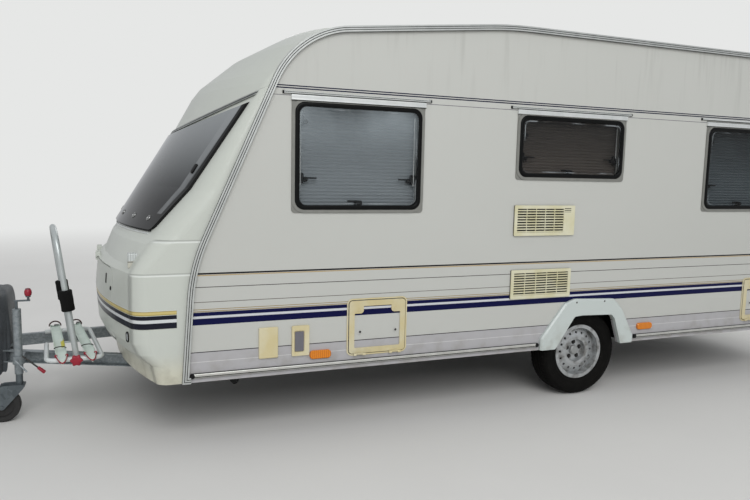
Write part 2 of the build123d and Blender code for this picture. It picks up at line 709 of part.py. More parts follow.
def rear_solid(inset, back):
    """The rear end as a full solid, moved inwards by a wall thickness."""
    half = HALF - inset
    nose = REAR_X + inset
    plan = bow_face(back, nose + REAR_BOW, nose, half)
    plan = fillet(plan.vertices().group_by(Axis.X)[0], REAR_EDGE_R - inset / 2)
    plan = Pos(0, 0, SILL_Z - inset) * extrude(plan, amount=ROOF_Z)
    top = ROOF_Z + ROOF_CROWN - inset
    outline = make_face(Polyline((back, 300), (back, top), (nose, top), (nose, 300), close=True))
    corner_point = outline.vertices().sort_by_distance(Vector(nose, top, 0))[0]
    outline = fillet(corner_point, REAR_TOP_R - inset)
    crown = crown_face(0, ROOF_Z, ROOF_Z + ROOF_CROWN, HALF, inset, 300)
    crown = Pos(REAR_X - 200, 0, 0) * extrude(crown, amount=6000, dir=(1, 0, 0))
    return plan & prism_y(outline, -half, half) & crown


rear_moulding = rear_solid(0, ROOF_REAR_X - JOINT_GAP) - rear_solid(WALL, ROOF_REAR_X + 10)
rear_moulding -= SIDE_BAND_GROWN
rear_moulding -= mirrored(SIDE_BAND_GROWN)
rear_window_size = (-REAR_WIN_HALF, REAR_WIN_HALF, REAR_WIN_Z0, REAR_WIN_Z1, WINDOW_CORNER)
rear_moulding -= prism_x(grown_face(*rear_window_size, -FRONT_WIN_LAP), REAR_X - 200, REAR_X + 200)
rear_moulding -= box(REAR_X - CUT, REAR_X + PLATE_DEEP, -PLATE_HALF, PLATE_HALF, PLATE_Z0, PLATE_Z1)
keep("rear_moulding", rear_moulding)
rear_pane = Pos(-FRONT_PANE, 0, 0) * rear_solid(0, REAR_X + 300) - Pos(-0.5, 0, 0) * rear_solid(0, REAR_X + 350)
rear_pane &= prism_x(grown_face(*rear_window_size, 0), REAR_X - 200, REAR_X + 100)
keep("rear_window", rear_pane)

# Floor and wheel boxes
TUB_T = 12.0
TUB_Z = 408.0
TUB_TOP = 1150.0
TUB_BACK_X = 2690.0
floor_y = INNER - JOINT_GAP
floor_panel = rear_solid(WALL + JOINT_GAP, TUB_BACK_X - JOINT_GAP)
floor_panel &= box(REAR_X, TUB_BACK_X, -floor_y, floor_y, SILL_Z, SILL_Z + FLOOR)
wells = []
for side in (1, -1):
    y_in = side * WELL_Y
    y_out = side * floor_y
    past = side * CUT
    floor_panel -= box(-WELL_X, WELL_X, y_in, y_out + past, SILL_Z - CUT, SILL_Z + FLOOR + CUT)
    y_in += side * SEAT_GAP
    well = box(-WELL_X + SEAT_GAP, WELL_X - SEAT_GAP, y_in, y_out, SILL_Z, WELL_TOP)
    well -= box(-WELL_X + WELL_T, WELL_X - WELL_T, y_in + side * WELL_T, y_out + past, SILL_Z - CUT, WELL_TOP - WELL_T)
    wells.append(well)
keep("floor_panel", floor_panel)
keep("wheel_boxes", *wells)

# Gas locker tub behind the front moulding
tub_edge = floor_y - 2
tub = box(TUB_BACK_X, TUB_BACK_X + TUB_T, -floor_y, floor_y, TUB_Z, TUB_TOP)
for z in (TUB_Z, TUB_TOP - TUB_T):
    tub += box(TUB_BACK_X, BOW_FAR, -tub_edge, tub_edge, z, z + TUB_T)
tub &= bowed_loft(FRONT_SECTIONS, BOW_BACK, WALL + 1)
keep("gas_locker_tub", tub)

# Wheel spats
spat_face = make_face(Polyline(*SPAT, close=True))
spat_face = fillet(spat_face.vertices().filter_by(lambda v: v.Y > 400), SPAT_ROUND)
spat_hole = make_face(Polyline(*ARCH, close=True))
spat_hole = fillet(spat_hole.vertices().filter_by(lambda v: v.Y > 400), SPAT_ROUND)
spat = prism_y(spat_face, SKIN, HALF + SPAT_PROUD)
spat = chamfer(spat.edges().filter_by(Plane.XZ).group_by(Axis.Y)[-1], SPAT_CHAMFER)
spat -= prism_y(spat_hole, HALF - CUT, HALF + 2 * SPAT_PROUD)
spat -= box(-500, 500, HALF - CUT, HALF + 2 * SPAT_PROUD, 300, SILL_Z + 2)
keep("wheel_spats", spat, mirrored(spat))

# Awning rails along the walls' edges, with two grooves for the infill: distance from the edge
RAIL_WIDE = 34.0
RAIL_PROUD = 20.0
RAIL_GROOVES = (9.0, 21.0)
GROOVE_W = 4.0
GROOVE_D = 3.0
awning = prism_y(side_face() - side_face(-RAIL_WIDE), SKIN, HALF + RAIL_PROUD)
awning -= box(WALL_REAR_X + 50, 2690, HALF - CUT, HALF + 2 * RAIL_PROUD, 300, SILL_Z + RAIL_WIDE + CUT)
for inset in RAIL_GROOVES:
    groove = side_face(-inset) - side_face(-inset - GROOVE_W)
    awning -= prism_y(groove, HALF + RAIL_PROUD - GROOVE_D, HALF + 2 * RAIL_PROUD)
keep("awning_rails", awning, mirrored(awning))

# Sill rails along the foot of the walls, broken at the wheels: x from, x to
SILLS = [(420.0, 2690.0), (-2248.0, -430.0)]
SILL_RAIL_Z = (395.0, 423.0)
SILL_RAIL_PROUD = 16.0
SILL_RAIL_R = 8.0
SILL_GROOVE_Z = (401.0, 406.0)
sills = []
for x0, x1 in SILLS:
    sill = box(x0, x1, SKIN, HALF + SILL_RAIL_PROUD, *SILL_RAIL_Z)
    sill = fillet(sill.edges().filter_by(Axis.X).group_by(Axis.Y)[-1], SILL_RAIL_R)
    sill -= box(x0 - CUT, x1 + CUT, HALF + SILL_RAIL_PROUD - 2 * GROOVE_D, HALF + 50, *SILL_GROOVE_Z)
    sills.extend([sill, mirrored(sill)])
keep("sill_rails", *sills)

# Service doors with their frames: a raised ring with two lock lobes, hinged at the foot
SERVICE_KNUCKLE = 40.0
SERVICE_HINGES = (60.0, 60.0)  # from the leaf's front and rear end
service_frames = []
leaf_inset = SERVICE_RIM + DOOR_GAP
for name, x0, x1, z0, z1 in SERVICE_DOORS:
    outline = (x0, x1, z0, z1, SERVICE_CORNER)
    frame = prism_y(grown_face(*outline, 0), SKIN, HALF + SERVICE_RIM_PROUD)
    frame += prism_y(grown_face(*outline, -SERVICE_RIM / 2 - SEAT_GAP), INNER, HALF + 1)
    frame -= prism_y(grown_face(*outline, -SERVICE_RIM), INNER - CUT, HALF + SERVICE_T)
    leaf_face = HALF + SERVICE_PROUD
    leaf = prism_y(grown_face(*outline, -leaf_inset), leaf_face - SERVICE_T, leaf_face)
    ring_inset = leaf_inset + SERVICE_RING
    inside = grown_face(x0, x1, z0, z1, ring_inset + 6, -ring_inset)
    for end, inward in ((x0 + ring_inset, 1), (x1 - ring_inset, -1)):
        lobe_x = sorted((end - inward * LOBE_R, end + inward * LOBE_W))
        lobe_z = (z1 - ring_inset - LOBE_H, z1 - ring_inset + LOBE_R)
        inside -= panel_face(*lobe_x, *lobe_z, LOBE_R)
    leaf -= prism_y(inside, HALF + SERVICE_SKIN, leaf_face + CUT)
    for x in (x0 + ring_inset + LOBE_W / 2, x1 - ring_inset - LOBE_W / 2):
        lock_z = z1 - ring_inset - LOBE_H / 2
        leaf += tube_y(LOCK_R, x, lock_z, leaf_face - 1, leaf_face + LOCK_PROUD)
    for x in (x0 + SERVICE_HINGES[0] + SERVICE_KNUCKLE, x1 - SERVICE_HINGES[1]):
        origin = (x, leaf_face + HINGE_OUT, z0 + leaf_inset - HINGE_OFF)
        at_leaf = Plane(origin=origin, x_dir=(0, 0, -1), z_dir=(-1, 0, 0))
        frame_depth = HINGE_OUT + SERVICE_PROUD - SERVICE_RIM_PROUD + HINGE_BITE
        on_leaf, on_frame = hinge_pair(at_leaf, SERVICE_KNUCKLE, SERVICE_RIM, HINGE_OUT + HINGE_BITE, frame_depth)
        leaf += on_leaf
        frame += on_frame
    service_frames.append(frame)
    keep(f"service_door_{name}", leaf)
keep("service_frames", *service_frames)

# Entrance door, its frame and its window
DOOR_KNUCKLE = 90.0
DOOR_HINGE_REACH = 24.0
DOOR_HINGES = (DOOR_Z0 + 180, DOOR_Z1 - 280)
door_frame = prism_y(grown_face(*DOOR, DOOR_FLANGE), SKIN, HALF + DOOR_FRAME_PROUD)
door_frame += prism_y(grown_face(*DOOR, DOOR_HOLE - 1), INNER, HALF + 1)
door_frame -= prism_y(grown_face(*DOOR, DOOR_GAP), INNER - CUT, HALF + WALL)
door_leaf = prism_y(grown_face(*DOOR, 0), INNER, HALF + DOOR_PROUD)
door_leaf -= prism_y(panel_face(*DOOR_WIN, DOOR_WIN_CORNER), INNER - CUT, HALF + WALL)
press = grown_face(*DOOR_PRESS, DOOR_WIN_CORNER, 0) - grown_face(*DOOR_PRESS, DOOR_WIN_CORNER, -DOOR_PRESS_W)
door_leaf -= prism_y(press, HALF + DOOR_PROUD - DOOR_PRESS_D, HALF + WALL)
handle_back = HALF + DOOR_PROUD - HANDLE_DEEP
door_leaf -= prism_y(panel_face(*HANDLE, 12), handle_back, HALF + WALL)
door_leaf += box(HANDLE[0] - 1, HANDLE[1] + 1, handle_back + CUT, HALF + DOOR_PROUD, *HANDLE_BAR)
door_window = prism_y(grown_face(*DOOR_WIN, DOOR_WIN_CORNER, -SEAT_GAP), INNER + CUT, HALF + 4)
door_frame = mirrored(door_frame)
door_leaf = mirrored(door_leaf)
for z in DOOR_HINGES:
    at_door = Plane(origin=(DOOR_X1 + HINGE_OFF, -HALF - DOOR_PROUD - HINGE_OUT, z), x_dir=(1, 0, 0), z_dir=(0, 0, 1))
    frame_depth = HINGE_OUT + DOOR_PROUD - DOOR_FRAME_PROUD + HINGE_BITE
    on_leaf, on_frame = hinge_pair(at_door, DOOR_KNUCKLE, DOOR_HINGE_REACH, HINGE_OUT + HINGE_BITE, frame_depth)
    door_leaf += on_leaf
    door_frame += on_frame
keep("entrance_frame", door_frame)
keep("entrance_door", door_leaf)
keep("door_window", mirrored(door_window))

# Fridge vents with slanted louvres: x from, x to, z from, z to, louvres from, louvres to, how many
VENTS = [
    (158.0, 637.0, 1158.0, 1359.0, 248.0, 615.0, 9),
    (165.0, 643.0, 736.0, 931.0, 187.0, 621.0, 9),
]
VENT_PROUD = 14.0
VENT_RIM = 22.0
VENT_CORNER = 8.0
VENT_RIBS = 4
VENT_RIB_W = 4.0
LOUVRE_BACK = 3.0
LOUVRE_FRONT = 12.0
vents = []
for x0, x1, z0, z1, louvre_x0, louvre_x1, count in VENTS:
    vent = prism_y(panel_face(x0, x1, z0, z1, VENT_CORNER), SKIN, HALF + VENT_PROUD)
    low = z0 + VENT_RIM
    pitch = (z1 - VENT_RIM - low) / count
    vent -= box(louvre_x0, louvre_x1, HALF - CUT, HALF + 2 * VENT_PROUD, low, z1 - VENT_RIM)
    edge = [(SKIN, low), (HALF + LOUVRE_BACK, low)]
    for index in range(count):
        z = low + index * pitch
        edge.append((HALF + LOUVRE_FRONT, z + 0.1 * pitch))
        edge.append((HALF + LOUVRE_FRONT, z + 0.3 * pitch))
        edge.append((HALF + LOUVRE_BACK, z + 0.8 * pitch))
        edge.append((HALF + LOUVRE_BACK, z + pitch))
    edge.append((SKIN, z1 - VENT_RIM))
    vent += prism_x(make_face(Polyline(*edge, close=True)), louvre_x0, louvre_x1)
    for index in range(VENT_RIBS):
        rib_x = louvre_x0 + (louvre_x1 - louvre_x0) * (index + 1) / (VENT_RIBS + 1)
        vent += box(rib_x - VENT_RIB_W / 2, rib_x + VENT_RIB_W / 2, SKIN, HALF + LOUVRE_FRONT + 1, low, z1 - VENT_RIM)
    vents.append(vent)
keep("fridge_vents", *vents)

# Filler cover and mains inlet with its flap: x from, x to, z from, z to
FILLER = (2202.0, 2313.0, 476.0, 656.0)
INLET = (2016.0, 2120.0, 476.0, 655.0)
FLAP = (2050.0, 2103.0, 504.0, 622.0)
BOX_PROUD = 12.0
BOX_CORNER = 6.0
FLAP_GROOVE = 4.0
filler = prism_y(panel_face(*FILLER, BOX_CORNER), SKIN, HALF + BOX_PROUD)
filler = chamfer(filler.edges().group_by(Axis.Y)[-1], 3)
inlet = prism_y(panel_face(*INLET, BOX_CORNER), SKIN, HALF + BOX_PROUD)
inlet -= prism_y(grown_face(*FLAP, BOX_CORNER, FLAP_GROOVE), HALF + BOX_PROUD / 2, HALF + 2 * BOX_PROUD)
inlet += prism_y(panel_face(*FLAP, BOX_CORNER), HALF + BOX_PROUD / 2 - 1, HALF + BOX_PROUD + 2)
keep("inlet_boxes", filler, inlet)

# Lamps: orange side markers, front markers on the ledge and rear clusters
SIDE_MARKERS = [(1881.0, 2012.0, 449.0, 499.0), (-594.0, -456.0, 456.0, 504.0)]
MARKER_PROUD = 16.0
MARKER_CORNER = 20.0
MARKER_EDGE = 4.0
markers = []
for sizes in SIDE_MARKERS:
    lamp = prism_y(panel_face(*sizes, MARKER_CORNER), SKIN, HALF + MARKER_PROUD)
    lamp = chamfer(lamp.edges().group_by(Axis.Y)[-1], MARKER_EDGE)
    markers.extend([lamp, mirrored(lamp)])
keep("side_markers", *markers)
FRONT_LAMP_X = (2900.0, 3002.0)
FRONT_LAMP_INSET = (165.0, 90.0)  # inner and outer end, from the body's side
FRONT_LAMP_Z = (1008.0, 1088.0)
FRONT_LAMP_R = 6.0
front_lamp = box(*FRONT_LAMP_X, HALF - FRONT_LAMP_INSET[0], HALF - FRONT_LAMP_INSET[1], *FRONT_LAMP_Z)
front_lamp = fillet(front_lamp.edges(), FRONT_LAMP_R) - Pos(SEAT_GAP, SEAT_GAP, SEAT_GAP) * front_outer
front_lamp = biggest(front_lamp)
keep("front_markers", front_lamp, mirrored(front_lamp))
LAMP_INSET = (400.0, 80.0)  # inner and outer end, from the body's side
LAMP_Z = (560.0, 720.0)
LAMP_PROUD = 13.0
LAMP_GROOVE = 4.0
lamp_y0 = HALF - LAMP_INSET[0]
lamp_y1 = HALF - LAMP_INSET[1]
rear_lamp = box(REAR_X - LAMP_PROUD, REAR_X + 40, lamp_y0, lamp_y1, *LAMP_Z)
rear_lamp = fillet(rear_lamp.edges().group_by(Axis.X)[0], 6)
for share in (1 / 3, 2 / 3):
    groove_y = lamp_y0 + (lamp_y1 - lamp_y0) * share
    groove = box(REAR_X - LAMP_PROUD - CUT, REAR_X - LAMP_PROUD + LAMP_GROOVE, groove_y, groove_y + LAMP_GROOVE, 500, 800)
    rear_lamp -= groove
rear_lamp -= Pos(-JOINT_GAP, 0, 0) * rear_solid(0, REAR_X + 300)
rear_lamp = biggest(rear_lamp)
keep("rear_lamps", rear_lamp, mirrored(rear_lamp))

# Chassis rails with a cross member at each end
rail_foot = SILL_Z - RAIL_H
cross_foot = SILL_Z - CROSS_H
rails = []
for side in (1, -1):
    web = side * RAIL_Y
    flange = side * (RAIL_Y - RAIL_FLANGE)
    rail = box(RAIL_REAR_X, RAIL_FRONT_X, flange, web, rail_foot, SILL_Z)
    rail -= box(RAIL_REAR_X - CUT, RAIL_FRONT_X + CUT, flange - side * CUT, web - side * RAIL_T,
                rail_foot + RAIL_T, SILL_Z - RAIL_T)
    rail -= tube_y(TUBE_R + SEAT_GAP, TUBE_X, TUBE_Z, -HALF, HALF)
    rails.append(rail)
for x in (RAIL_REAR_X, RAIL_FRONT_X - CROSS_H):
    cross = box(x, x + CROSS_H, -RAIL_Y + RAIL_T, RAIL_Y - RAIL_T, cross_foot, SILL_Z - RAIL_T)
    cross -= box(x + RAIL_T, x + CROSS_H + CUT, -RAIL_Y, RAIL_Y, cross_foot + RAIL_T, SILL_Z - 2 * RAIL_T)
    rails.append(cross)
keep("chassis_frame", rails[0] + rails[1] + rails[2] + rails[3])

# Drawbar: two members, the plates bolted to the rails and the plate under the overrun housing
root_x = RAIL_FRONT_X + SEAT_GAP
drawbar = beam(1) + beam(-1)
drawbar -= box(RAIL_FRONT_X - CROSS_H, root_x, -HALF, HALF, 200, 500)
for side in (1, -1):
    drawbar += box(root_x, root_x + ROOT_PLATE_T, side * (RAIL_Y - ROOT_PLATE_W), side * (RAIL_Y + 20),
                   rail_foot, SILL_Z - 1)
plate_foot = DRAW_PLATE_Z - DRAW_PLATE_T
drawbar += box(DRAW_PLATE_X0, DRAW_PLATE_X1, -DRAW_PLATE_HALF, DRAW_PLATE_HALF, plate_foot, DRAW_PLATE_Z)
drawbar += box(DRAW_TIP[0] - 30, DRAW_TIP[0] - 18, -60, 60, 355, DRAW_PLATE_Z)
keep("drawbar", drawbar)

# Axle tube with trailing arms, back plates and stub axles
arm_y = WHEEL_Y - TYRE_W / 2 - ARM_GAP
plate_y = WHEEL_Y + DRUM_IN - 2 - PLATE_T
axle = tube_y(TUBE_R, TUBE_X, TUBE_Z, -arm_y - 2, arm_y + 2)
arm_edges = (Pos(TUBE_X, TUBE_Z) * Circle(ARM_BIG_R)).edges() + (Pos(0, AXLE_Z) * Circle(ARM_SMALL_R)).edges()
arm_face = make_hull(arm_edges)
for side in (1, -1):
    axle += prism_y(arm_face, side * arm_y, side * (arm_y + ARM_T))
    axle += tube_y(ARM_SMALL_R, 0, AXLE_Z, side * (arm_y + ARM_T), side * plate_y)
    axle += tube_y(DRUM_R + CUT, 0, AXLE_Z, side * plate_y, side * (plate_y + PLATE_T))
    axle += tube_y(STUB_R, 0, AXLE_Z, side * plate_y, side * (WHEEL_Y - 10))
keep("axle_tube", axle)

# Wheels: profiles of the drum, the rim and the tyre, as radius and distance from the wheel's middle
half_rim = RIM_W / 2
half_tyre = TYRE_W / 2
stub_hole = STUB_R + SEAT_GAP
rim_seat = RIM_R - RIM_SHELL
drum_profile = [(stub_hole, DRUM_IN), (DRUM_R, DRUM_IN), (DRUM_R, 0), (HUB_HOLE_R - 1, 0), (HUB_HOLE_R - 1, DRUM_CAP - 6),
                (HUB_HOLE_R - 7, DRUM_CAP), (0, DRUM_CAP), (0, -8), (stub_hole, -8)]
rim_profile = [
    (rim_seat, -half_rim), (RIM_LIP_R, -half_rim), (RIM_LIP_R, -half_rim + 6), (RIM_R, -half_rim + 9),
    (RIM_R, half_rim - 9), (RIM_LIP_R, half_rim - 6), (RIM_LIP_R, half_rim), (rim_seat, half_rim),
    (rim_seat, 22), (RIM_HOLE_RING + 24, 30), (RIM_HOLE_RING - 26, 44), (82, 42), (74, 12), (HUB_HOLE_R, 12),
    (HUB_HOLE_R, 4), (80, 4), (90, 33), (RIM_HOLE_RING - 28, 36), (RIM_HOLE_RING + 22, 22), (rim_seat, 12)]
tyre_half = [(TYRE_R, 62), (TYRE_R - 4, 74), (280, half_tyre), (235, half_tyre), (RIM_LIP_R + 22, 76),
             (RIM_LIP_R + 4, 62), (RIM_R + SEAT_GAP, 58)]
tyre_profile = tyre_half + [(r, -y) for r, y in reversed(tyre_half)]
tyre_face = make_face(Polyline(*tyre_profile, close=True))
tyre_face = fillet(tyre_face.vertices().filter_by(lambda v: 220 < v.X < 300), 18)
drum = revolve(make_face(Polyline(*drum_profile, close=True)), Axis.Y)
rim = revolve(make_face(Polyline(*rim_profile, close=True)), Axis.Y)
for index in range(RIM_HOLES):
    angle = 2 * math.pi * index / RIM_HOLES
    rim -= tube_y(RIM_HOLE_R, RIM_HOLE_RING * math.cos(angle), RIM_HOLE_RING * math.sin(angle), 5, 60)
tyre = revolve(tyre_face, Axis.Y)
for name, side, turn in (("left", 1, 0), ("right", -1, 180)):
    place = Pos(0, side * WHEEL_Y, AXLE_Z) * Rot(0, 0, turn)
    keep(f"brake_drum_{name}", place * drum)
    keep(f"rim_{name}", place * rim)
    keep(f"tyre_{name}", place * tyre)

# Overrun housing, shaft bellows and coupling head
BELLOWS_FOLDS = 3
BELLOWS_PITCH = 34.0
BELLOWS_HIGH = 44.0
BELLOWS_LOW = 34.0
housing_foot = DRAW_PLATE_Z + SEAT_GAP
housing = box(HOUSING_X0, HOUSING_X1, -HOUSING_HALF, HOUSING_HALF, housing_foot, HOUSING_TOP)
housing = fillet(housing.edges().filter_by(Axis.X).group_by(Axis.Z)[-1], 20)
housing += box(DRAW_PLATE_X0 + 5, DRAW_PLATE_X1 - 5, -HOUSING_FOOT_HALF, HOUSING_FOOT_HALF, housing_foot,
               DRAW_PLATE_Z + HOUSING_FOOT_T)
housing -= tube_x(SHAFT_R + SEAT_GAP, 0, SHAFT_Z, HOUSING_X1 - 150, HOUSING_X1 + 50)
keep("overrun_housing", housing)
bellows_x = HOUSING_X1 + 1
folds = [(bellows_x, SHAFT_R + SEAT_GAP), (bellows_x, BELLOWS_LOW + 2)]
for index in range(BELLOWS_FOLDS):
    folds.append((bellows_x + BELLOWS_PITCH * (index + 0.5), BELLOWS_HIGH))
    folds.append((bellows_x + BELLOWS_PITCH * (index + 1), BELLOWS_LOW))
bellows_end = bellows_x + BELLOWS_PITCH * (BELLOWS_FOLDS + 0.5)
folds.extend([(bellows_end, BELLOWS_HIGH - 4), (bellows_end, SHAFT_R + SEAT_GAP)])
bellows = Pos(0, 0, SHAFT_Z) * revolve(make_face(Polyline(*folds, close=True)), Axis.X)
keep("shaft_bellows", bellows)
socket_out = SOCKET_R + SOCKET_WALL
neck_top = BALL_Z + NECK_TOP
head = Pos(BALL_X, 0, BALL_Z) * Sphere(socket_out)
head += tube_z(socket_out, BALL_X, 0, BALL_Z - SOCKET_DEPTH, BALL_Z)
head &= box(BALL_X - 60, BALL_X + 60, -60, 60, BALL_Z - SOCKET_DEPTH, neck_top)
head += box(BALL_X - NECK_BACK, BALL_X, -NECK_HALF, NECK_HALF, BALL_Z, neck_top)
head += tube_x(SHAFT_R, 0, SHAFT_Z, HOUSING_X1 - 140, BALL_X - 30)
grip = box(BALL_X - NECK_BACK + 5, BALL_X + GRIP_AHEAD, -GRIP_HALF, GRIP_HALF, neck_top - 1, neck_top + GRIP_H)
head += fillet(grip.edges().filter_by(Axis.X).group_by(Axis.Z)[-1], 7)
head -= Pos(BALL_X, 0, BALL_Z) * Sphere(SOCKET_R)
head -= tube_z(SOCKET_R, BALL_X, 0, BALL_Z - SOCKET_DEPTH - CUT, BALL_Z)
keep("coupling_head", head)

# Handbrake lever, pulled up beside the housing
lever_y = LEVER_BACK + LEVER_T * 0.7
lever = tube_y(LEVER_PIVOT_R, LEVER_X, LEVER_Z, LEVER_BACK + SEAT_GAP, LEVER_BACK + LEVER_T)
upright = Pos(LEVER_X, lever_y, LEVER_Z) * Rot(0, -LEVER_LEAN, 0)
lever += upright * Pos(0, 0, LEVER_LEN / 2) * Box(26, 12, LEVER_LEN)
lever += upright * Pos(0, 0, LEVER_LEN - 38) * Cylinder(15, 110)
keep("handbrake_lever", lever)

# Jockey wheel: clamp on the drawbar, outer tube, inner tube with fork, wheel and crank
SCREW_R = 6.0
SCREW_OUT = 46.0
HANDLE_ROD = (-52.0, 20.0, -58.0)  # from the screw's end to the end of its handle
beam_y = beam_mid(JOCKEY_X)
jockey_y = beam_y + JOCKEY_REACH
clamp_z = (CLAMP_Z0 + CLAMP_Z1) / 2
clamp = tube_z(JOCKEY_TUBE_R + CLAMP_WALL, JOCKEY_X, jockey_y, CLAMP_Z0, CLAMP_Z1)
clamp += box(JOCKEY_X - 30, JOCKEY_X + 30, beam_y + 33, jockey_y - 15, CLAMP_Z0, CLAMP_Z1)
clamp += tube_y(SCREW_R, JOCKEY_X, clamp_z, jockey_y + JOCKEY_TUBE_R + 4, jockey_y + JOCKEY_TUBE_R + SCREW_OUT)
rod_foot = Vector(JOCKEY_X, jockey_y + JOCKEY_TUBE_R + SCREW_OUT - 4, clamp_z)
rod_plane = Plane(origin=rod_foot - Vector(*HANDLE_ROD) * 0.2, z_dir=HANDLE_ROD)
clamp += extrude(rod_plane.location * Circle(SCREW_R - 1), amount=1.2 * Vector(*HANDLE_ROD).length)
clamp -= tube_z(JOCKEY_TUBE_R + SEAT_GAP, JOCKEY_X, jockey_y, 200, 500)
clamp -= beam(1, SEAT_GAP)
outer_tube = tube_z(JOCKEY_TUBE_R, JOCKEY_X, jockey_y, JOCKEY_TUBE_Z0, JOCKEY_TUBE_Z1)
outer_tube -= tube_z(JOCKEY_INNER_R + SEAT_GAP, JOCKEY_X, jockey_y, JOCKEY_TUBE_Z0 - 10, JOCKEY_TUBE_Z1 - 10)
keep("jockey_clamp", biggest(clamp), outer_tube)
wheel_x = JOCKEY_X + JOCKEY_TRAIL
bridge_z = FORK_Z - FORK_T
inner_tube = tube_z(JOCKEY_INNER_R, JOCKEY_X, jockey_y, FORK_Z + SEAT_GAP, JOCKEY_INNER_TOP)
inner_tube += tube_z(JOCKEY_PIN_R, JOCKEY_X, jockey_y, bridge_z - CUT, FORK_Z + 1)
fork = box(JOCKEY_X - 30, wheel_x + 10, jockey_y - FORK_HALF, jockey_y + FORK_HALF, bridge_z, FORK_Z)
fork -= tube_z(JOCKEY_PIN_R + SEAT_GAP, JOCKEY_X, jockey_y, bridge_z - 2 * CUT, FORK_Z + CUT)
cheek_edges = (Pos(JOCKEY_X - 10, bridge_z) * Circle(16)).edges() + (Pos(wheel_x - 10, bridge_z) * Circle(16)).edges()
cheek_edges += (Pos(wheel_x, JOCKEY_WHEEL_R) * Circle(18)).edges()
cheek = make_hull(cheek_edges)
for side in (1, -1):
    fork += prism_y(cheek, jockey_y + side * (FORK_HALF - FORK_CHEEK), jockey_y + side * FORK_HALF)
fork += tube_y(FORK_BOLT_R, wheel_x, JOCKEY_WHEEL_R, jockey_y - FORK_HALF - 8, jockey_y + FORK_HALF + 8)
keep("jockey_inner_tube", inner_tube)
keep("jockey_fork", fork)
half_wheel = JOCKEY_WHEEL_W / 2
jockey_wheel = tube_y(JOCKEY_WHEEL_R, wheel_x, JOCKEY_WHEEL_R, jockey_y - half_wheel, jockey_y + half_wheel)
jockey_wheel = fillet(jockey_wheel.edges(), 9)
for side in (1, -1):
    dish = tube_y(0.66 * JOCKEY_WHEEL_R, wheel_x, JOCKEY_WHEEL_R, jockey_y + side * (half_wheel - 10),
                  jockey_y + side * (half_wheel + CUT))
    jockey_wheel -= dish
jockey_wheel += tube_y(22, wheel_x, JOCKEY_WHEEL_R, jockey_y - half_wheel - 7, jockey_y + half_wheel + 7)
jockey_wheel -= tube_y(FORK_BOLT_R + SEAT_GAP, wheel_x, JOCKEY_WHEEL_R, jockey_y - 60, jockey_y + 60)
keep("jockey_wheel", jockey_wheel)
crank = tube_z(8, JOCKEY_X, jockey_y, JOCKEY_TUBE_Z1 + SEAT_GAP, CRANK_ARM_Z)
crank += box(JOCKEY_X - CRANK_SWING - 10, JOCKEY_X + 12, jockey_y - 10, jockey_y + 10, CRANK_ARM_Z, CRANK_ARM_Z + 8)
crank += tube_z(7, JOCKEY_X - CRANK_SWING, jockey_y, CRANK_ARM_Z + 8, CRANK_TOP - 50)
crank += tube_z(14, JOCKEY_X - CRANK_SWING, jockey_y, CRANK_TOP - 52, CRANK_TOP)
keep("jockey_crank", crank)

# Cycle rack: two channels tied together, a bent tube under them, and feet on the drawbar members
rack_y0 = -beam_mid(CHANNELS[1]) - RACK_OVER
rack = None
for x in CHANNELS:
    channel = box(x - CHANNEL_HALF, x + CHANNEL_HALF, rack_y0, RACK_Y1, RACK_Z, RACK_Z + CHANNEL_H)
    slot = CHANNEL_HALF - CHANNEL_T
    channel -= box(x - slot, x + slot, rack_y0 - CUT, RACK_Y1 + CUT, RACK_Z + CHANNEL_T - 1, RACK_Z + 2 * CHANNEL_H)
    rack = channel if rack is None else rack + channel
for y in HOOP_YS:
    rack += box(CHANNELS[0] - CHANNEL_HALF, CHANNELS[1] + CHANNEL_HALF, y - TIE_HALF, y + TIE_HALF, RACK_Z - TIE_T, RACK_Z)
frame_z = RACK_Z + 1 - FRAME_R
frame_ends = [(x, beam_mid(x), frame_z) for x in FRAME_X]
frame_path = FilletPolyline(frame_ends[0], (FRAME_X[0], FRAME_Y, frame_z), (FRAME_X[1], FRAME_Y, frame_z), frame_ends[1],
                            radius=FRAME_BEND)
rack += sweep(Plane(origin=frame_path @ 0, z_dir=frame_path % 0).location * Circle(FRAME_R), path=frame_path)
for x, side in ((CHANNELS[0], 1), (CHANNELS[1], 1), (CHANNELS[1], -1), (FRAME_X[0], 1), (FRAME_X[1], 1)):
    foot_y = side * beam_mid(x)
    foot = box(x - FOOT_HALF_X, x + FOOT_HALF_X, foot_y - FOOT_HALF_Y, foot_y + FOOT_HALF_Y, RACK_Z - FOOT_DROP, RACK_Z + 1)
    rack += foot - beam(side, SEAT_GAP)
keep("rack_channels", biggest(rack))
foot_z = RACK_Z - 10
top_x = HOOP_X + HOOP_LEAN
hoop_path = FilletPolyline((HOOP_X, HOOP_YS[0], foot_z), (top_x, HOOP_YS[0], HOOP_TOP), (top_x, HOOP_YS[1], HOOP_TOP),
                           (HOOP_X, HOOP_YS[1], foot_z), radius=HOOP_BEND)
hoop = sweep(Plane(origin=hoop_path @ 0, z_dir=hoop_path % 0).location * Circle(HOOP_R), path=hoop_path)
hoop -= box(HOOP_X - 200, HOOP_X + 200, -HALF, HALF, RACK_Z - 60, RACK_Z + SEAT_GAP)
keep("rack_hoop", hoop)

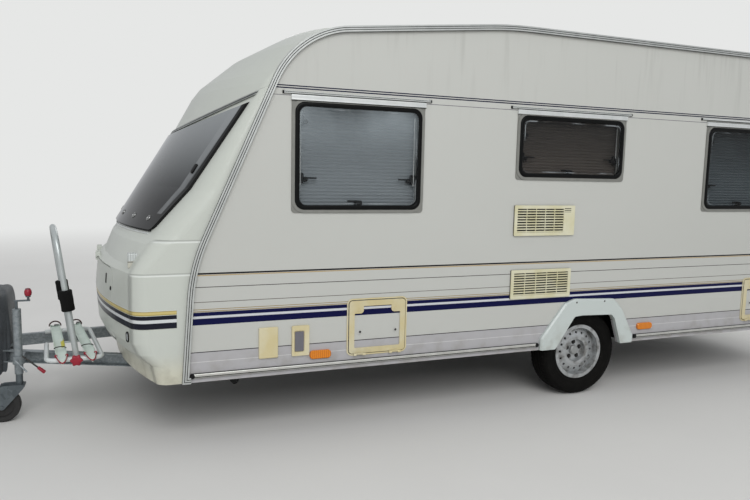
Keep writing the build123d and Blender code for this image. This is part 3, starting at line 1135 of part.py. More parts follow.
# Fabric cover over the hitch: its outline in x and z, and the same outline inside
beam_run = math.hypot(DRAW_TIP[0] - DRAW_ROOT[0], DRAW_TIP[1] - DRAW_ROOT[1]) / (DRAW_TIP[0] - DRAW_ROOT[0])
cover_half = beam_mid(COVER_X0) + DRAW_W / 2 * beam_run + SEAT_GAP + COVER_T
under = COVER_TOP - COVER_T
cover_points = [(COVER_X0, COVER_FOOT), (COVER_X0 + 20, COVER_TOP - 40), (COVER_X0 + 120, COVER_TOP),
                (COVER_RIDGE_X, COVER_TOP), (COVER_X1 - 20, COVER_NOSE_Z), (COVER_X1, COVER_FOOT)]
inside_points = [(COVER_X0 + COVER_T, 200), (COVER_X0 + 20 + COVER_T, COVER_TOP - 45), (COVER_X0 + 122, under),
                 (COVER_RIDGE_X - 2, under), (COVER_X1 - 20 - COVER_T, COVER_NOSE_Z - 4), (COVER_X1 - COVER_T, 200)]
inner_half = cover_half - COVER_T
cover = prism_y(make_face(Polyline(*cover_points, close=True)), -cover_half, cover_half)
cover -= prism_y(make_face(Polyline(*inside_points, close=True)), -inner_half, inner_half)
cover -= box(COVER_X0 - CUT, COVER_X0 + 60, -inner_half, inner_half, 200, COVER_OPEN_Z)
keep("hitch_cover", cover)

# Corner steadies with their brackets and feet
steady_y = HALF - STEADY_INSET
brackets = []
for name, x, ahead, side in STEADIES:
    y = side * steady_y
    bracket = box(x - 30, x + 30, y - BRACKET_HALF, y + BRACKET_HALF, SILL_Z - BRACKET_T, SILL_Z)
    for edge in (-BRACKET_HALF, BRACKET_HALF - BRACKET_T):
        bracket += box(x - 30, x + 30, y + edge, y + edge + BRACKET_T, STEADY_Z - 18, SILL_Z)
    bracket += tube_y(STEADY_PIN_R, x, STEADY_Z, y - BRACKET_HALF, y + BRACKET_HALF)
    brackets.append(bracket)
    x_foot = x + ahead * STEADY_LEN
    arm = box(x - ahead * 15, x_foot, y - 20, y + 20, STEADY_Z - 18, STEADY_Z + 18)
    arm -= box(x - ahead * 20, x_foot + ahead * CUT, y - 16, y + 16, STEADY_Z - 14, STEADY_Z + 25)
    foot = Pos(x_foot - ahead * 12, y, STEADY_Z - 20) * Rot(0, -ahead * STEADY_DOWN, 0)
    arm += foot * Box(84, 90, 6)
    arm -= tube_y(STEADY_PIN_R + SEAT_GAP, x, STEADY_Z, y - 40, y + 40)
    keep(f"steady_{name}", arm)
keep("steady_brackets", *brackets)


def write():
    """Moves every node to the middle of the overall size and writes it."""
    os.makedirs("parts", exist_ok=True)
    shift = Pos(-(COVER_X1 + REAR_X - FRONT_PANE) / 2, 0, 0)
    for name, solids in PARTS.items():
        placed = [shift * solid for solid in solids]
        shape = Compound(children=placed) if len(placed) > 1 else placed[0]
        export_step(shape, f"parts/{name}.step")


write()
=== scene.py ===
import math

import bmesh
import bpy
import numpy as np
from mathutils import Matrix, Vector
from mathutils.bvhtree import BVHTree


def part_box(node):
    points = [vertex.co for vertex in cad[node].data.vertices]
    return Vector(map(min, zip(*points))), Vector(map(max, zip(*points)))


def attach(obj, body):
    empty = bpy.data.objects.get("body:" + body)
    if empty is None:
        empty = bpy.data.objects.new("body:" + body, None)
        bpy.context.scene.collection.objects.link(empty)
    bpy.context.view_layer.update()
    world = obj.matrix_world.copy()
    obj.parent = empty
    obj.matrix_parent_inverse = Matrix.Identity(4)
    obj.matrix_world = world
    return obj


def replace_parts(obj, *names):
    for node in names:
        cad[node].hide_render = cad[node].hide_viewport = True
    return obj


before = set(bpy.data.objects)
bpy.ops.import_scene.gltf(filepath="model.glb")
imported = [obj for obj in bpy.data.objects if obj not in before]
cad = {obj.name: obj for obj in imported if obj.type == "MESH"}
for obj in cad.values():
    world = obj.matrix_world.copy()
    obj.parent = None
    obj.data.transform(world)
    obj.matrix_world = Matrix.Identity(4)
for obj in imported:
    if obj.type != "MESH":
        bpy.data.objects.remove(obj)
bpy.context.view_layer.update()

# Camera: held at eye height on the pavement, off the caravan's left front corner.
# Place and angles come from fitting the photograph's view to the body's corners.
EYE = Vector((1.956, 4.715, 1.5345))
YAW = 0.3797
PITCH = 0.1144
ROLL = 0.0209
LENS = 31.2
ahead = Vector((-math.sin(YAW) * math.cos(PITCH), -math.cos(YAW) * math.cos(PITCH), -math.sin(PITCH)))
level = ahead.cross(Vector((0, 0, 1))).normalized()
above = level.cross(ahead)
right = level * math.cos(ROLL) + above * math.sin(ROLL)
up = above * math.cos(ROLL) - level * math.sin(ROLL)
lens = bpy.data.cameras.new("camera")
lens.lens = LENS
camera = bpy.data.objects.new("camera", lens)
bpy.context.scene.collection.objects.link(camera)
camera.matrix_world = Matrix.Translation(EYE) @ Matrix((right, up, -ahead)).transposed().to_4x4()
bpy.context.scene.camera = camera
bpy.context.scene.view_settings.view_transform = "Standard"


# Floor: a plain pale studio floor of matt painted concrete, far wider than the caravan.
# Far from it the camera sees the floor's paint run into the backdrop's colour, as in a studio cove.
def linear(code, alpha=1):
    """Turns an sRGB hex value into linear light: each channel above 0.04045 follows the 2.4 power curve."""
    channels = [int(code[i:i + 2], 16) / 255 for i in (1, 3, 5)]
    return [c / 12.92 if c <= 0.04045 else ((c + 0.055) / 1.055) ** 2.4 for c in channels] + [alpha]


def add(near, kind, feeds=None, **settings):
    """Adds one node to the tree that near lies in. Settings are its properties; feeds gives each input a value,
    a colour as a hex code, or another node's output."""
    tree = near.id_data
    made = tree.nodes.new(kind)
    for name, value in settings.items():
        setattr(made, name, value)
    for key, value in (feeds or {}).items():
        if isinstance(value, bpy.types.NodeSocket):
            tree.links.new(value, made.inputs[key])
        else:
            made.inputs[key].default_value = linear(value) if isinstance(value, str) else value
    return made


def sums(operation, a, b=0, c=0, clamp=False):
    """One step of arithmetic on numbers, the first of which is a node's output."""
    return add(a, "ShaderNodeMath", {0: a, 1: b, 2: c}, operation=operation, use_clamp=clamp).outputs[0]


def times(a, b):
    """The product of a node's output and another number."""
    return sums("MULTIPLY", a, b)


def fade(value, low, high):
    """Rises smoothly from 0 at low to 1 at high, or falls where low is above high."""
    return add(value, "ShaderNodeMapRange", {"Value": value, "From Min": low, "From Max": high},
               interpolation_type="SMOOTHSTEP").outputs[0]


def between(value, low, high, soft=0.001):
    """1 from low to high and 0 outside, with edges that are soft metres wide to each side."""
    return times(fade(value, low - soft, low + soft), fade(value, high + soft, high - soft))


def blend(share, first, second, mode="MIX"):
    """Lays the second colour over the first by a share from 0 to 1."""
    mixed = add(share, "ShaderNodeMix", {0: share, 6: first, 7: second}, data_type="RGBA", blend_type=mode)
    return mixed.outputs[2]


def cloud(place, size, detail=3, stretch=(1, 1, 1)):
    """Soft noise from 0 to 1 whose spots are about size metres across, drawn out along an axis by stretch."""
    scaled = add(place, "ShaderNodeMapping", {"Vector": place, "Scale": [1 / s for s in stretch]}).outputs[0]
    noise = {"Vector": scaled, "Scale": 1 / size, "Detail": detail, "Roughness": 0.5}
    return add(place, "ShaderNodeTexNoise", noise).outputs["Fac"]


def material(name, **sockets):
    """Starts a material with uniform values on the shader's own sockets; returns it, its shader and place."""
    made = bpy.data.materials.new(name)
    made.use_nodes = True
    shader = made.node_tree.nodes["Principled BSDF"]
    for socket, value in sockets.items():
        shader.inputs[socket.replace("_", " ").title().replace("Ior", "IOR")].default_value = value
    return made, shader, add(shader, "ShaderNodeTexCoord").outputs["Object"]


def feed(shader, **outputs):
    """Links outputs to the shader's sockets by their names."""
    for socket, output in outputs.items():
        shader.id_data.links.new(output, shader.inputs[socket.replace("_", " ").title()])


def axes(place):
    """The three coordinates as separate numbers."""
    return add(place, "ShaderNodeSeparateXYZ", {0: place}).outputs


def bump(shader, height, depth, strength=1):
    """Puts a height from 0 to 1 into the shader's normal, depth metres deep."""
    made = add(shader, "ShaderNodeBump", {"Height": height, "Distance": depth, "Strength": strength})
    feed(shader, normal=made.outputs[0])


def mottled(name, spots, first, second, grain=None, **sockets):
    """A material whose two colours mix in soft clouds: spots gives their size and detail, and grain gives the
    size, detail and depth of a fine relief."""
    made, shader, place = material(name, **sockets)
    feed(shader, base_color=blend(cloud(place, *spots), first, second))
    if grain:
        bump(shader, cloud(place, *grain[:-1]), grain[-1])
    return made


FLOOR_REACH = 60
BACKDROP = "#E6E7E6"
floor_paint, shader, place = material("matt_floor_paint", roughness=0.85, specular_ior_level=0.2)
feed(shader, base_color=blend(cloud(place, 0.7, 4), "#D5D4D1", "#DBDAD7"))
away = add(place, "ShaderNodeVectorMath", {0: place}, operation="LENGTH").outputs["Value"]
seen = add(place, "ShaderNodeLightPath").outputs["Is Camera Ray"]
cove = add(place, "ShaderNodeEmission", {"Color": BACKDROP}).outputs[0]
share = times(fade(away, 5.5, 15), seen)
coved = add(place, "ShaderNodeMixShader", {0: share, 1: shader.outputs[0], 2: cove}).outputs[0]
output = shader.id_data.nodes["Material Output"]
shader.id_data.links.new(coved, output.inputs["Surface"])
floor_mesh = bpy.data.meshes.new("studio_floor")
floor_corners = [(x * FLOOR_REACH, y * FLOOR_REACH, 0) for x, y in ((-1, -1), (1, -1), (1, 1), (-1, 1))]
floor_mesh.from_pydata(floor_corners, [], [(0, 1, 2, 3)])
floor_mesh.materials.append(floor_paint)
studio_floor = bpy.data.objects.new("studio_floor", floor_mesh)
bpy.context.scene.collection.objects.link(studio_floor)

# Light: a pale overcast room, with a wide soft box high on the side that the camera sees and a weaker one
# behind. The front end faces away from the soft box, so it lies in a light shade. The backdrop is seen at its
# own colour.
ROOM_LIGHT = 0.6
LAMPS = [("key", (2, 9.8, 7.5), 7, 650), ("fill", (-5, -9.5, 6.5), 8, 400)]
world = bpy.data.worlds.new("pale_room")
bpy.context.scene.world = world
world.use_nodes = True
sky = world.node_tree
background = sky.nodes["Background"]
path = add(sky, "ShaderNodeLightPath").outputs
seen = sums("MAXIMUM", path["Is Camera Ray"], path["Is Transmission Ray"])
sky.links.new(blend(seen, "#FAFCFF", BACKDROP), background.inputs["Color"])
strength = add(sky, "ShaderNodeMapRange", {"Value": seen, "To Min": ROOM_LIGHT, "To Max": 1}).outputs[0]
sky.links.new(strength, background.inputs["Strength"])
for name, spot, size, power in LAMPS:
    lamp = bpy.data.lights.new(name, "AREA")
    lamp.size = size
    lamp.energy = power
    holder = bpy.data.objects.new(name, lamp)
    bpy.context.scene.collection.objects.link(holder)
    aim = (Vector((0, 0, 1)) - Vector(spot)).to_track_quat("-Z", "Y")
    holder.matrix_world = Matrix.Translation(spot) @ aim.to_matrix().to_4x4()


# Chassis, drawbar and steadies: pressed steel sections, hot-dip galvanised after welding.
# The zinc shows flat crystal patches and has dulled to grey with lighter and darker clouds.
def zinc(name, light, dark, spangle=0.012):
    """Galvanised steel: crystal patches that differ in brightness, under clouds of white rust."""
    made, shader, place = material(name, metallic=0.55)
    cells = add(place, "ShaderNodeTexVoronoi", {"Vector": place, "Scale": 1 / spangle}).outputs["Color"]
    tone = times(add(place, "ShaderNodeSeparateColor", {0: cells}).outputs[0], 0.4)
    tone = sums("MULTIPLY_ADD", cloud(place, 0.08, 4), 0.7, tone, clamp=True)
    feed(shader, base_color=blend(tone, dark, light), roughness=sums("MULTIPLY_ADD", tone, -0.2, 0.6))
    bump(shader, tone, 0.0004)
    return made


def dress(stuff, *nodes):
    """Gives CAD nodes their material."""
    for one in nodes:
        cad[one].data.materials.clear()
        cad[one].data.materials.append(stuff)


dress(zinc("hot_dip_galvanised_steel", "#A0A7AA", "#666D70"), "chassis_frame", "drawbar", "steady_brackets",
      "steady_front_left", "steady_front_right", "steady_rear_left", "steady_rear_right", "overrun_housing",
      "coupling_head", "jockey_clamp")

# Floor, wheel boxes and gas locker tub: plywood under a black bitumen coat, and formed black polypropylene.
# Road dirt has dried on the coat in brown-grey clouds.
bitumen = mottled("bitumen_coated_plywood", (0.2, 5), "#1F1C19", "#352F28", (0.02, 4, 0.002), roughness=0.8,
                  specular_ior_level=0.2)
dress(bitumen, "floor_panel")
dark_tub = mottled("black_polypropylene", (0.1, 4), "#121213", "#242321", (0.004, 2, 0.0005), roughness=0.6,
                   specular_ior_level=0.2)
dress(dark_tub, "wheel_boxes", "gas_locker_tub")

# Axle and brakes: a black-painted torsion tube with rust at its welds, and bare cast drums whose hub caps,
# out in the wheel's middle, are bright zinc.
AXLE_X = -1.095
AXLE_Z = 0.312
WHEEL_Y = 0.9655
DISC_FACE = 0.012  # outwards from the wheel's middle
axle_black, shader, place = material("rust_spotted_black_paint", roughness=0.5)
rust = fade(cloud(place, 0.05, 5), 0.5, 0.75)
feed(shader, base_color=blend(rust, "#1B1B1C", "#463527"))
dress(axle_black, "axle_tube", "handbrake_lever")
iron, shader, place = material("cast_iron_with_zinc_cap", metallic=0.5, roughness=0.55)
grey_iron = blend(cloud(place, 0.03, 5), "#2A2623", "#4C3E35")
capped = sums("GREATER_THAN", sums("ABSOLUTE", axes(place)[1]), WHEEL_Y + DISC_FACE)
feed(shader, base_color=blend(capped, grey_iron, "#9C9E9D"))
bump(shader, cloud(place, 0.004, 3), 0.0008)
dress(iron, "brake_drum_left", "brake_drum_right")


# Wheels: pressed steel discs in silver enamel with brake dust round the holes, five bolts on thin black discs
# that paint the shade in their seats, and radial tyres with a blocked tread, moulded sidewall rings and road
# dust.
def quads(rows, columns, wrap_rows=False, wrap_columns=False):
    """Joins the points of a grid to quads: each cell takes its four corners in turn, round the seam where
    it wraps."""
    i = np.arange(rows if wrap_rows else rows - 1)
    j = np.arange(columns if wrap_columns else columns - 1)
    i, j = np.meshgrid(i, j, indexing="ij")
    i_next = (i + 1) % rows
    j_next = (j + 1) % columns
    cells = [i * columns + j, i * columns + j_next, i_next * columns + j_next, i_next * columns + j]
    return np.stack(cells, -1).reshape(-1, 4)


def piece(name, shells, stuff, body="caravan", sharp=35, sheet=False):
    """Joins (points, faces) shells to one mesh at the origin: doubles merge, faces turn outwards unless
    it's a sheet."""
    counts = np.cumsum([0] + [len(np.reshape(points, (-1, 3))) for points, _ in shells])
    points = np.concatenate([np.reshape(points, (-1, 3)) for points, _ in shells])
    faces = np.concatenate([corners + first for (_, corners), first in zip(shells, counts)])
    mesh = bpy.data.meshes.new(name)
    mesh.from_pydata(points.tolist(), [], faces.tolist())
    if not sheet:
        solid = bmesh.new()
        solid.from_mesh(mesh)
        bmesh.ops.remove_doubles(solid, verts=solid.verts[:], dist=1e-6)
        bmesh.ops.recalc_face_normals(solid, faces=solid.faces[:])
        solid.to_mesh(mesh)
        solid.free()
    mesh.polygons.foreach_set("use_smooth", [True] * len(mesh.polygons))
    mesh.set_sharp_from_angle(angle=math.radians(sharp))
    mesh.materials.append(stuff)
    made = bpy.data.objects.new(name, mesh)
    bpy.context.scene.collection.objects.link(made)
    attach(made, body)
    return made


def unit(vectors):
    """Scales vectors to length one."""
    vectors = np.asarray(vectors, float)
    return vectors / np.linalg.norm(vectors, axis=-1, keepdims=True)


def turned(profile, centre, axis, steps=32):
    """Turns (radius, distance) pairs about an axis: centre, plus distance along it, plus radius round it."""
    axis = unit(axis)
    aside = unit(np.cross(axis, (0, 0, 1) if abs(axis[2]) < 0.9 else (1, 0, 0)))
    angle = np.linspace(0, 2 * np.pi, steps, endpoint=False)[:, None]
    around = np.cos(angle) * aside + np.sin(angle) * np.cross(axis, aside)
    profile = np.asarray(profile, float)[:, None]
    points = np.asarray(centre, float) + profile[..., 1:] * axis + profile[..., :1] * around
    return points, quads(len(profile), steps, wrap_columns=True)


TYRE_STEPS = 216
BLOCK_PITCH = 3  # steps from one cross groove of the tread to the next
GROOVE_DEPTH = 0.0055
HALF_TYRE = np.array([  # radius, distance from the tyre's middle, and 1 where the cross grooves reach
    (0.312, 0, 0), (0.312, 0.012, 0), (0.306, 0.014, 0), (0.306, 0.019, 0), (0.3118, 0.021, 0),
    (0.3115, 0.04, 1), (0.3055, 0.042, 1), (0.3055, 0.047, 1), (0.3105, 0.049, 1), (0.308, 0.064, 1),
    (0.302, 0.075, 1), (0.294, 0.0825, 0), (0.284, 0.0875, 0), (0.2832, 0.0895, 0), (0.27, 0.0922, 0),
    (0.256, 0.0923, 0), (0.2552, 0.0912, 0), (0.24, 0.0902, 0), (0.225, 0.0868, 0), (0.2242, 0.0885, 0),
    (0.218, 0.0872, 0), (0.215, 0.084, 0), (0.206, 0.08, 0), (0.1985, 0.0755, 0), (0.2, 0.068, 0),
])
tyre_profile = np.concatenate([HALF_TYRE[::-1] * (1, -1, 1), HALF_TYRE[1:]])
angle = np.arange(TYRE_STEPS) * 2 * np.pi / TYRE_STEPS
grooves = (np.arange(TYRE_STEPS)[None] + (tyre_profile[:, 1:2] < 0)) % BLOCK_PITCH == 0
radius = tyre_profile[:, :1] - GROOVE_DEPTH * tyre_profile[:, 2:] * grooves
rubber = mottled("black_tyre_rubber", (0.04, 5), "#080808", "#161513", (0.003, 3, 0.0005), roughness=0.72,
                 specular_ior_level=0.08)
silver, shader, place = material("silver_wheel_enamel", metallic=0.5, coat_weight=0.3)
dust = fade(cloud(place, 0.05, 5), 0.42, 0.7)
dusty = blend(times(dust, 0.7), "#AEB1B2", "#5F5B55")
feed(shader, base_color=dusty, roughness=sums("MULTIPLY_ADD", dust, 0.3, 0.3))
dress(silver, "rim_left", "rim_right")
bolt_steel = mottled("dirty_zinc_bolt", (0.01,), "#2A2A2A", "#4A4846", metallic=0.6, roughness=0.5)
# The bolt seats are thin black discs of painted shade round each bolt.
bolt_seat = mottled("painted_shade_bolt_seat", (0.01,), "#0B0B0B", "#191817", roughness=0.8)
BOLTS = 5
BOLT_CIRCLE = 0.056  # radius
VALVE_CIRCLE = 0.158
VALVE_ANGLE = 1
SEAT_FORM = [(0, -0.001), (0.0165, -0.001), (0.0165, 0.0006), (0, 0.0006)]
BOLT_FORM = [(0, 0), (0.0105, 0), (0.0105, 0.01), (0.0085, 0.0125), (0, 0.0135)]
VALVE_FORM = [(0, 0), (0.0045, 0), (0.0045, 0.02), (0.0033, 0.021), (0.0033, 0.03), (0, 0.031)]
for side, node, body in ((1, "tyre_left", "wheel_left"), (-1, "tyre_right", "wheel_right")):
    out = (0, side, 0)
    tyre_points = np.stack([AXLE_X + radius * np.cos(angle),
                            side * (WHEEL_Y + tyre_profile[:, 1:2] + 0 * angle),
                            AXLE_Z + radius * np.sin(angle)], -1)
    tyre = piece(f"{node}_rubber",
                 [(tyre_points, quads(len(tyre_profile), TYRE_STEPS, True, True))], rubber, body)
    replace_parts(tyre, node)
    around = np.pi / 2 + np.arange(BOLTS) * 2 * np.pi / BOLTS
    spots = np.stack([AXLE_X + BOLT_CIRCLE * np.cos(around), side * (WHEEL_Y + DISC_FACE) + 0 * around,
                      AXLE_Z + BOLT_CIRCLE * np.sin(around)], -1)
    bolts = piece(f"{body}_bolts", [turned(BOLT_FORM, spot, out, 6) for spot in spots], bolt_steel, body)
    seats = piece(f"{body}_bolt_seats", [turned(SEAT_FORM, spot, out, 20) for spot in spots], bolt_seat, body)
    valve_foot = (AXLE_X + VALVE_CIRCLE * math.cos(VALVE_ANGLE), side * (WHEEL_Y + 0.026),
                  AXLE_Z + VALVE_CIRCLE * math.sin(VALVE_ANGLE))
    valve = piece(f"{body}_valve", [turned(VALVE_FORM, valve_foot, out, 12)], rubber, body)

# Overrun bellows and jockey wheel's tyre: black rubber, chalky where it has dried out.
# The bellows are a ribbed boot over the shaft.
chalky = mottled("chalky_black_rubber", (0.02, 4), "#161616", "#2C2B2A", roughness=0.7)
dress(chalky, "shaft_bellows", "jockey_wheel")

# Jockey leg: zinc-plated steel tubes, fork and crank, darker than the chassis. The crank's knob and the clamp
# lever's grip are dipped in red vinyl, faded to raspberry.
dress(zinc("dull_zinc_plate", "#6F777B", "#3C4246", 0.03), "jockey_inner_tube", "jockey_fork", "jockey_crank")
red_vinyl = mottled("faded_red_vinyl", (0.02,), "#A3122B", "#7E1226", (0.003, 2, 0.0003), roughness=0.38)
KNOB_FORM = [(0, -0.002), (0.012, -0.002), (0.0185, 0.006), (0.021, 0.017), (0.0205, 0.029), (0.0165, 0.04),
             (0.009, 0.047), (0, 0.049)]
ROD_FORM = [(0, 0), (0.005, 0), (0.005, 0.128), (0, 0.128)]
GRIP_FORM = [(0, 0.112), (0.008, 0.112), (0.0102, 0.118), (0.0094, 0.126), (0.0108, 0.136), (0.01, 0.144),
             (0.0112, 0.154), (0.009, 0.162), (0, 0.164)]
CRANK_TOP = (2.465, 0.3445, 0.766)
ROD_FOOT = (2.502, 0.411, 0.414)
ROD_RUN = (-0.102, 0.015, -0.09)
knob = piece("crank_knob", [turned(KNOB_FORM, CRANK_TOP, (0, 0, 1), 28)], red_vinyl, sharp=60)
rod = piece("clamp_lever_rod", [turned(ROD_FORM, ROD_FOOT, ROD_RUN, 12)], bolt_steel)
grip = piece("clamp_lever_grip", [turned(GRIP_FORM, ROD_FOOT, ROD_RUN, 24)], red_vinyl, sharp=60)

# Side walls and door leaf: thin aluminium sheet glued on the sandwich panel, coil-coated in warm off-white.
# Pressed lines and vinyl stripes run along it, and rain has left faint streaks below the roof rail.
WALL_FACE = 1.1
STRIPE_NAVY = "#04083C"
WALL_WHITE = "#BFC0BB"
# Painted shade: the wall below its lowest pressed line is coloured greyer for the shade that lies there.
WALL_LOW_SHADE = "#AFAEB0"
WALL_LINES = [  # lowest and highest height in metres, and the colour between them
    (0.4825, 0.486, "#CDCDCC"), (0.537, 0.542, "#39373B"), (0.693, 0.729, STRIPE_NAVY),
    (0.729, 0.743, "#C9CBD0"), (0.743, 0.764, STRIPE_NAVY), (0.7664, 0.7714, "#96805C"),
    (0.7778, 0.7822, "#9A8A66"), (0.819, 0.823, "#6F6C66"), (0.902, 0.9066, "#585654"),
    (0.967, 0.9722, "#AD9468"), (0.9745, 0.984, "#1A181C"), (1.967, 1.9712, "#77767A"),
    (2.0052, 2.0124, "#0D1030"), (2.0182, 2.025, "#0D1030"),
]


def level_lines(height, lines, ground):
    """Draws level lines over a ground colour, each in its own colour from its lowest to its highest height."""
    for low, high, colour in lines:
        share = sums("COMPARE", height, (low + high) / 2, (high - low) / 2)
        ground = blend(share, ground, colour)
    return ground


def wall_colours(place):
    """The wall's coat, with painted shade below its lowest pressed line, and the pressed lines and stripes on
    it.
    """
    height = axes(place)[2]
    ground = blend(sums("GREATER_THAN", height, 0.54), WALL_LOW_SHADE, WALL_WHITE)
    return level_lines(height, WALL_LINES, ground)


def coat(shader, place, colour, streaks=0.16):
    """Weathers a coat of paint: cloudy fading, rain streaks from the top edge and grime near the sill."""
    height = axes(place)[2]
    fading = times(cloud(place, 0.9, 3, (1.8, 1, 1)), 0.1)
    colour = blend(fading, colour, "#A9A7A2", "MULTIPLY")
    runs = fade(cloud(place, 0.045, 3, (1, 1, 14)), 0.52, 0.78)
    runs = times(runs, fade(height, 1.75, 2.5))
    colour = blend(times(runs, streaks), colour, "#6C6962")
    patches = fade(cloud(place, 0.08, 5), 0.42, 0.72)
    splash = times(fade(height, 0.62, 0.36), patches)
    colour = blend(times(splash, 0.35), colour, "#7F7968")
    gloss = sums("MULTIPLY_ADD", cloud(place, 0.25, 4), 0.16, 0.26)
    feed(shader, base_color=colour, roughness=gloss)


wall_coat, shader, place = material("coil_coated_aluminium_sheet", specular_ior_level=0.14)
coat(shader, place, wall_colours(place))
bump(shader, cloud(place, 0.55, 1, (1.6, 1, 1)), 0.004, 0.5)
dress(wall_coat, "side_wall_left", "side_wall_right", "entrance_door")

# Roof: the same sheet without stripes, greyer, with dirt that has settled in clouds.
# It is rolled out in one piece over the roof panel.
roof_coat, shader, place = material("weathered_roof_sheet", specular_ior_level=0.3)
coat(shader, place, "#B6BAB5")
bump(shader, cloud(place, 0.5, 1), 0.004, 0.4)
dress(roof_coat, "roof_panel")

# End mouldings: glass-fibre reinforced plastic under a polished gel coat. Two raised stripe bands run round the
# front and stop short of the side walls; on the sides the ledges fade out as shallow steps.
FRONT_LINES = [
    (0.686, 0.718, "#03061C"), (0.718, 0.736, "#CFD2D3"), (0.736, 0.758, "#03061C"),
    (0.761, 0.766, "#A9964A"), (0.766, 0.779, "#C9B878"), (0.779, 0.7825, "#A08B4E"),
]
STRIPE_END_X = 1.665
LEDGES = (0.978, 1.158)
gel_coat, shader, place = material("polished_gel_coat", specular_ior_level=0.25, coat_weight=0.1)
x, y, z = axes(place)
on_front = sums("GREATER_THAN", x, STRIPE_END_X)
plain = blend(cloud(place, 0.8), "#C6CAC2", "#C0C4BD")
colour = blend(on_front, plain, level_lines(z, FRONT_LINES, plain))
on_side = times(fade(sums("ABSOLUTE", y), 1.02, 1.07), fade(x, 1.4, 1.47))
raised = times(between(z, 0.686, 0.785, 0.003), on_front)
height = times(raised, 0.35)
# Painted light on the side ledges: a painted shade line just above each ledge and a painted highlight just
# below it.
for ledge in LEDGES:
    shade = times(between(z, ledge + 0.003, ledge + 0.008, 0.002), on_side)
    colour = blend(times(shade, 0.55), colour, "#7B7D78")
    lit = times(between(z, ledge - 0.008, ledge + 0.001, 0.002), on_side)
    colour = blend(times(lit, 0.7), colour, "#E4E8E3")
    height = sums("MULTIPLY_ADD", fade(z, ledge + 0.008, ledge - 0.006), on_side, height)
# Painted light: a warm cream tint towards the foot, for the look of the moulding's concave foot in shade.
colour = blend(times(fade(z, 0.56, 0.4), 0.55), colour, "#D2CDB4")
coat(shader, place, colour, 0.08)
bump(shader, height, 0.009)
dress(gel_coat, "front_moulding", "gas_locker_lid", "front_roof_moulding", "rear_moulding")
gloss_white, shader, place = material("vacuum_formed_white_plastic", coat_weight=0.3)
coat(shader, place, "#C2CAC7", 0)
bump(shader, cloud(place, 0.02, 2), 0.0004, 0.5)
dress(gloss_white, "wheel_spats", "roof_hatch_frame", "roof_hatch_lid")


# Locker lid and corners: a black spring latch in its slot and a round lock, both for a square key.
# On the moulding's lower corners sit small oval reflectors in dark rims.
def rounded(wide, high, radius, steps=6):
    """Goes round a rectangle centred on the origin, with a quarter circle at each corner."""
    angle = np.linspace(0, np.pi / 2, steps)
    arc = np.stack([np.cos(angle), np.sin(angle)], -1) * radius
    a, b = wide / 2 - radius, high / 2 - radius
    arcs = [arc + (a, b), arc[:, ::-1] * (-1, 1) + (-a, b), -arc + (-a, -b), arc[:, ::-1] * (1, -1) + (a, -b)]
    return np.concatenate(arcs)


def relief(outline, steps):
    """Raises an outline: each step (inset, height) draws it in and lifts it, and both ends close at the
    middle."""
    steps = np.asarray(steps, float)[:, None]
    rings = outline[None] * (1 - steps[..., :1] / np.abs(outline).max(axis=0))
    points = np.concatenate([rings, np.broadcast_to(steps[..., 1:], rings.shape[:2] + (1,))], -1)
    points = np.concatenate([points[:1] * (0, 0, 1), points, points[-1:] * (0, 0, 1)])
    return points, quads(len(points), len(outline), wrap_columns=True)


def lay(shape, spot, facing, upward=(0, 0, 1)):
    """Moves a shape drawn in (across, upward, out) to a spot: out points along facing, upward as near as it
    can."""
    out = unit(facing)
    upward = unit(np.asarray(upward) - np.dot(upward, out) * out)
    points, faces = shape
    return points @ np.stack([np.cross(upward, out), upward, out]) + np.asarray(spot), faces


def touch(node, start_x, places):
    """Finds where lines along x from start_x meet a CAD piece at each (y, z), and which way it faces there."""
    mesh = cad[node].data
    tree = BVHTree.FromPolygons([v.co for v in mesh.vertices], [p.vertices[:] for p in mesh.polygons])
    toward = Vector((-math.copysign(1, start_x), 0, 0))
    hits = [tree.ray_cast(Vector((start_x, *spot)), toward) for spot in places]
    return [(np.array(hit[0]), np.array(hit[1])) for hit in hits]


AHEAD = 3  # x from which lines run back to the front end
BEHIND = -4  # x from which lines run forward to the rear end
LATCH_Y = 0.62
black_abs = mottled("satin_black_moulded_plastic", (0.01,), "#060607", "#121213", (0.002, 2, 0.0002),
                    roughness=0.4, specular_ior_level=0.2)
grey_lens, shader, place = material("prismatic_grey_reflector", roughness=0.1, ior=1.49)
prisms = add(place, "ShaderNodeTexVoronoi", {"Vector": place, "Scale": 350}).outputs["Distance"]
feed(shader, base_color=blend(prisms, "#C4C8C8", "#8C9092"))
bump(shader, prisms, 0.0006)
LOCK_FORM = [(0, -0.003), (0.0125, -0.003), (0.0125, 0.002), (0.0105, 0.0035), (0.0075, 0.0035), (0.007, 0.001),
             (0.0035, 0.001), (0.003, 0.003), (0, 0.003)]
LATCH_STEPS = [(0, -0.006), (0, 0.001), (0.002, 0.0025), (0.006, 0.0005)]
lid_places = [(LATCH_Y - 0.022, 0.902), (LATCH_Y + 0.022, 0.902), (0.736, 0.859)]
lid_spots, lid_facings = zip(*touch("gas_locker_lid", AHEAD, lid_places))
latch_form = relief(rounded(0.0236, 0.0596, 0.003), LATCH_STEPS)
latch = lay(latch_form, (lid_spots[0] + lid_spots[1]) / 2, lid_facings[0] + lid_facings[1])
lid_fittings = piece("lid_latch_and_lock", [latch, turned(LOCK_FORM, lid_spots[2], lid_facings[2], 24)],
                     black_abs, "locker_lid")
oval = rounded(0.036, 0.06, 0.0179, 8)
RIM_STEPS = [(0, -0.003), (0, 0.004), (0.002, 0.006), (0.005, 0.006), (0.0055, 0.003)]
corners = touch("front_moulding", AHEAD, [(1, 0.631), (-1, 0.631)])
rims = piece("reflector_rims",
             [lay(relief(oval, RIM_STEPS), spot, facing) for spot, facing in corners], black_abs)
eye_form = relief(oval * 0.66, [(0, 0.001), (0, 0.0045), (0.003, 0.0055)])
eyes = [lay(eye_form, spot, facing) for spot, facing in corners]
piece("reflector_faces", eyes, grey_lens)
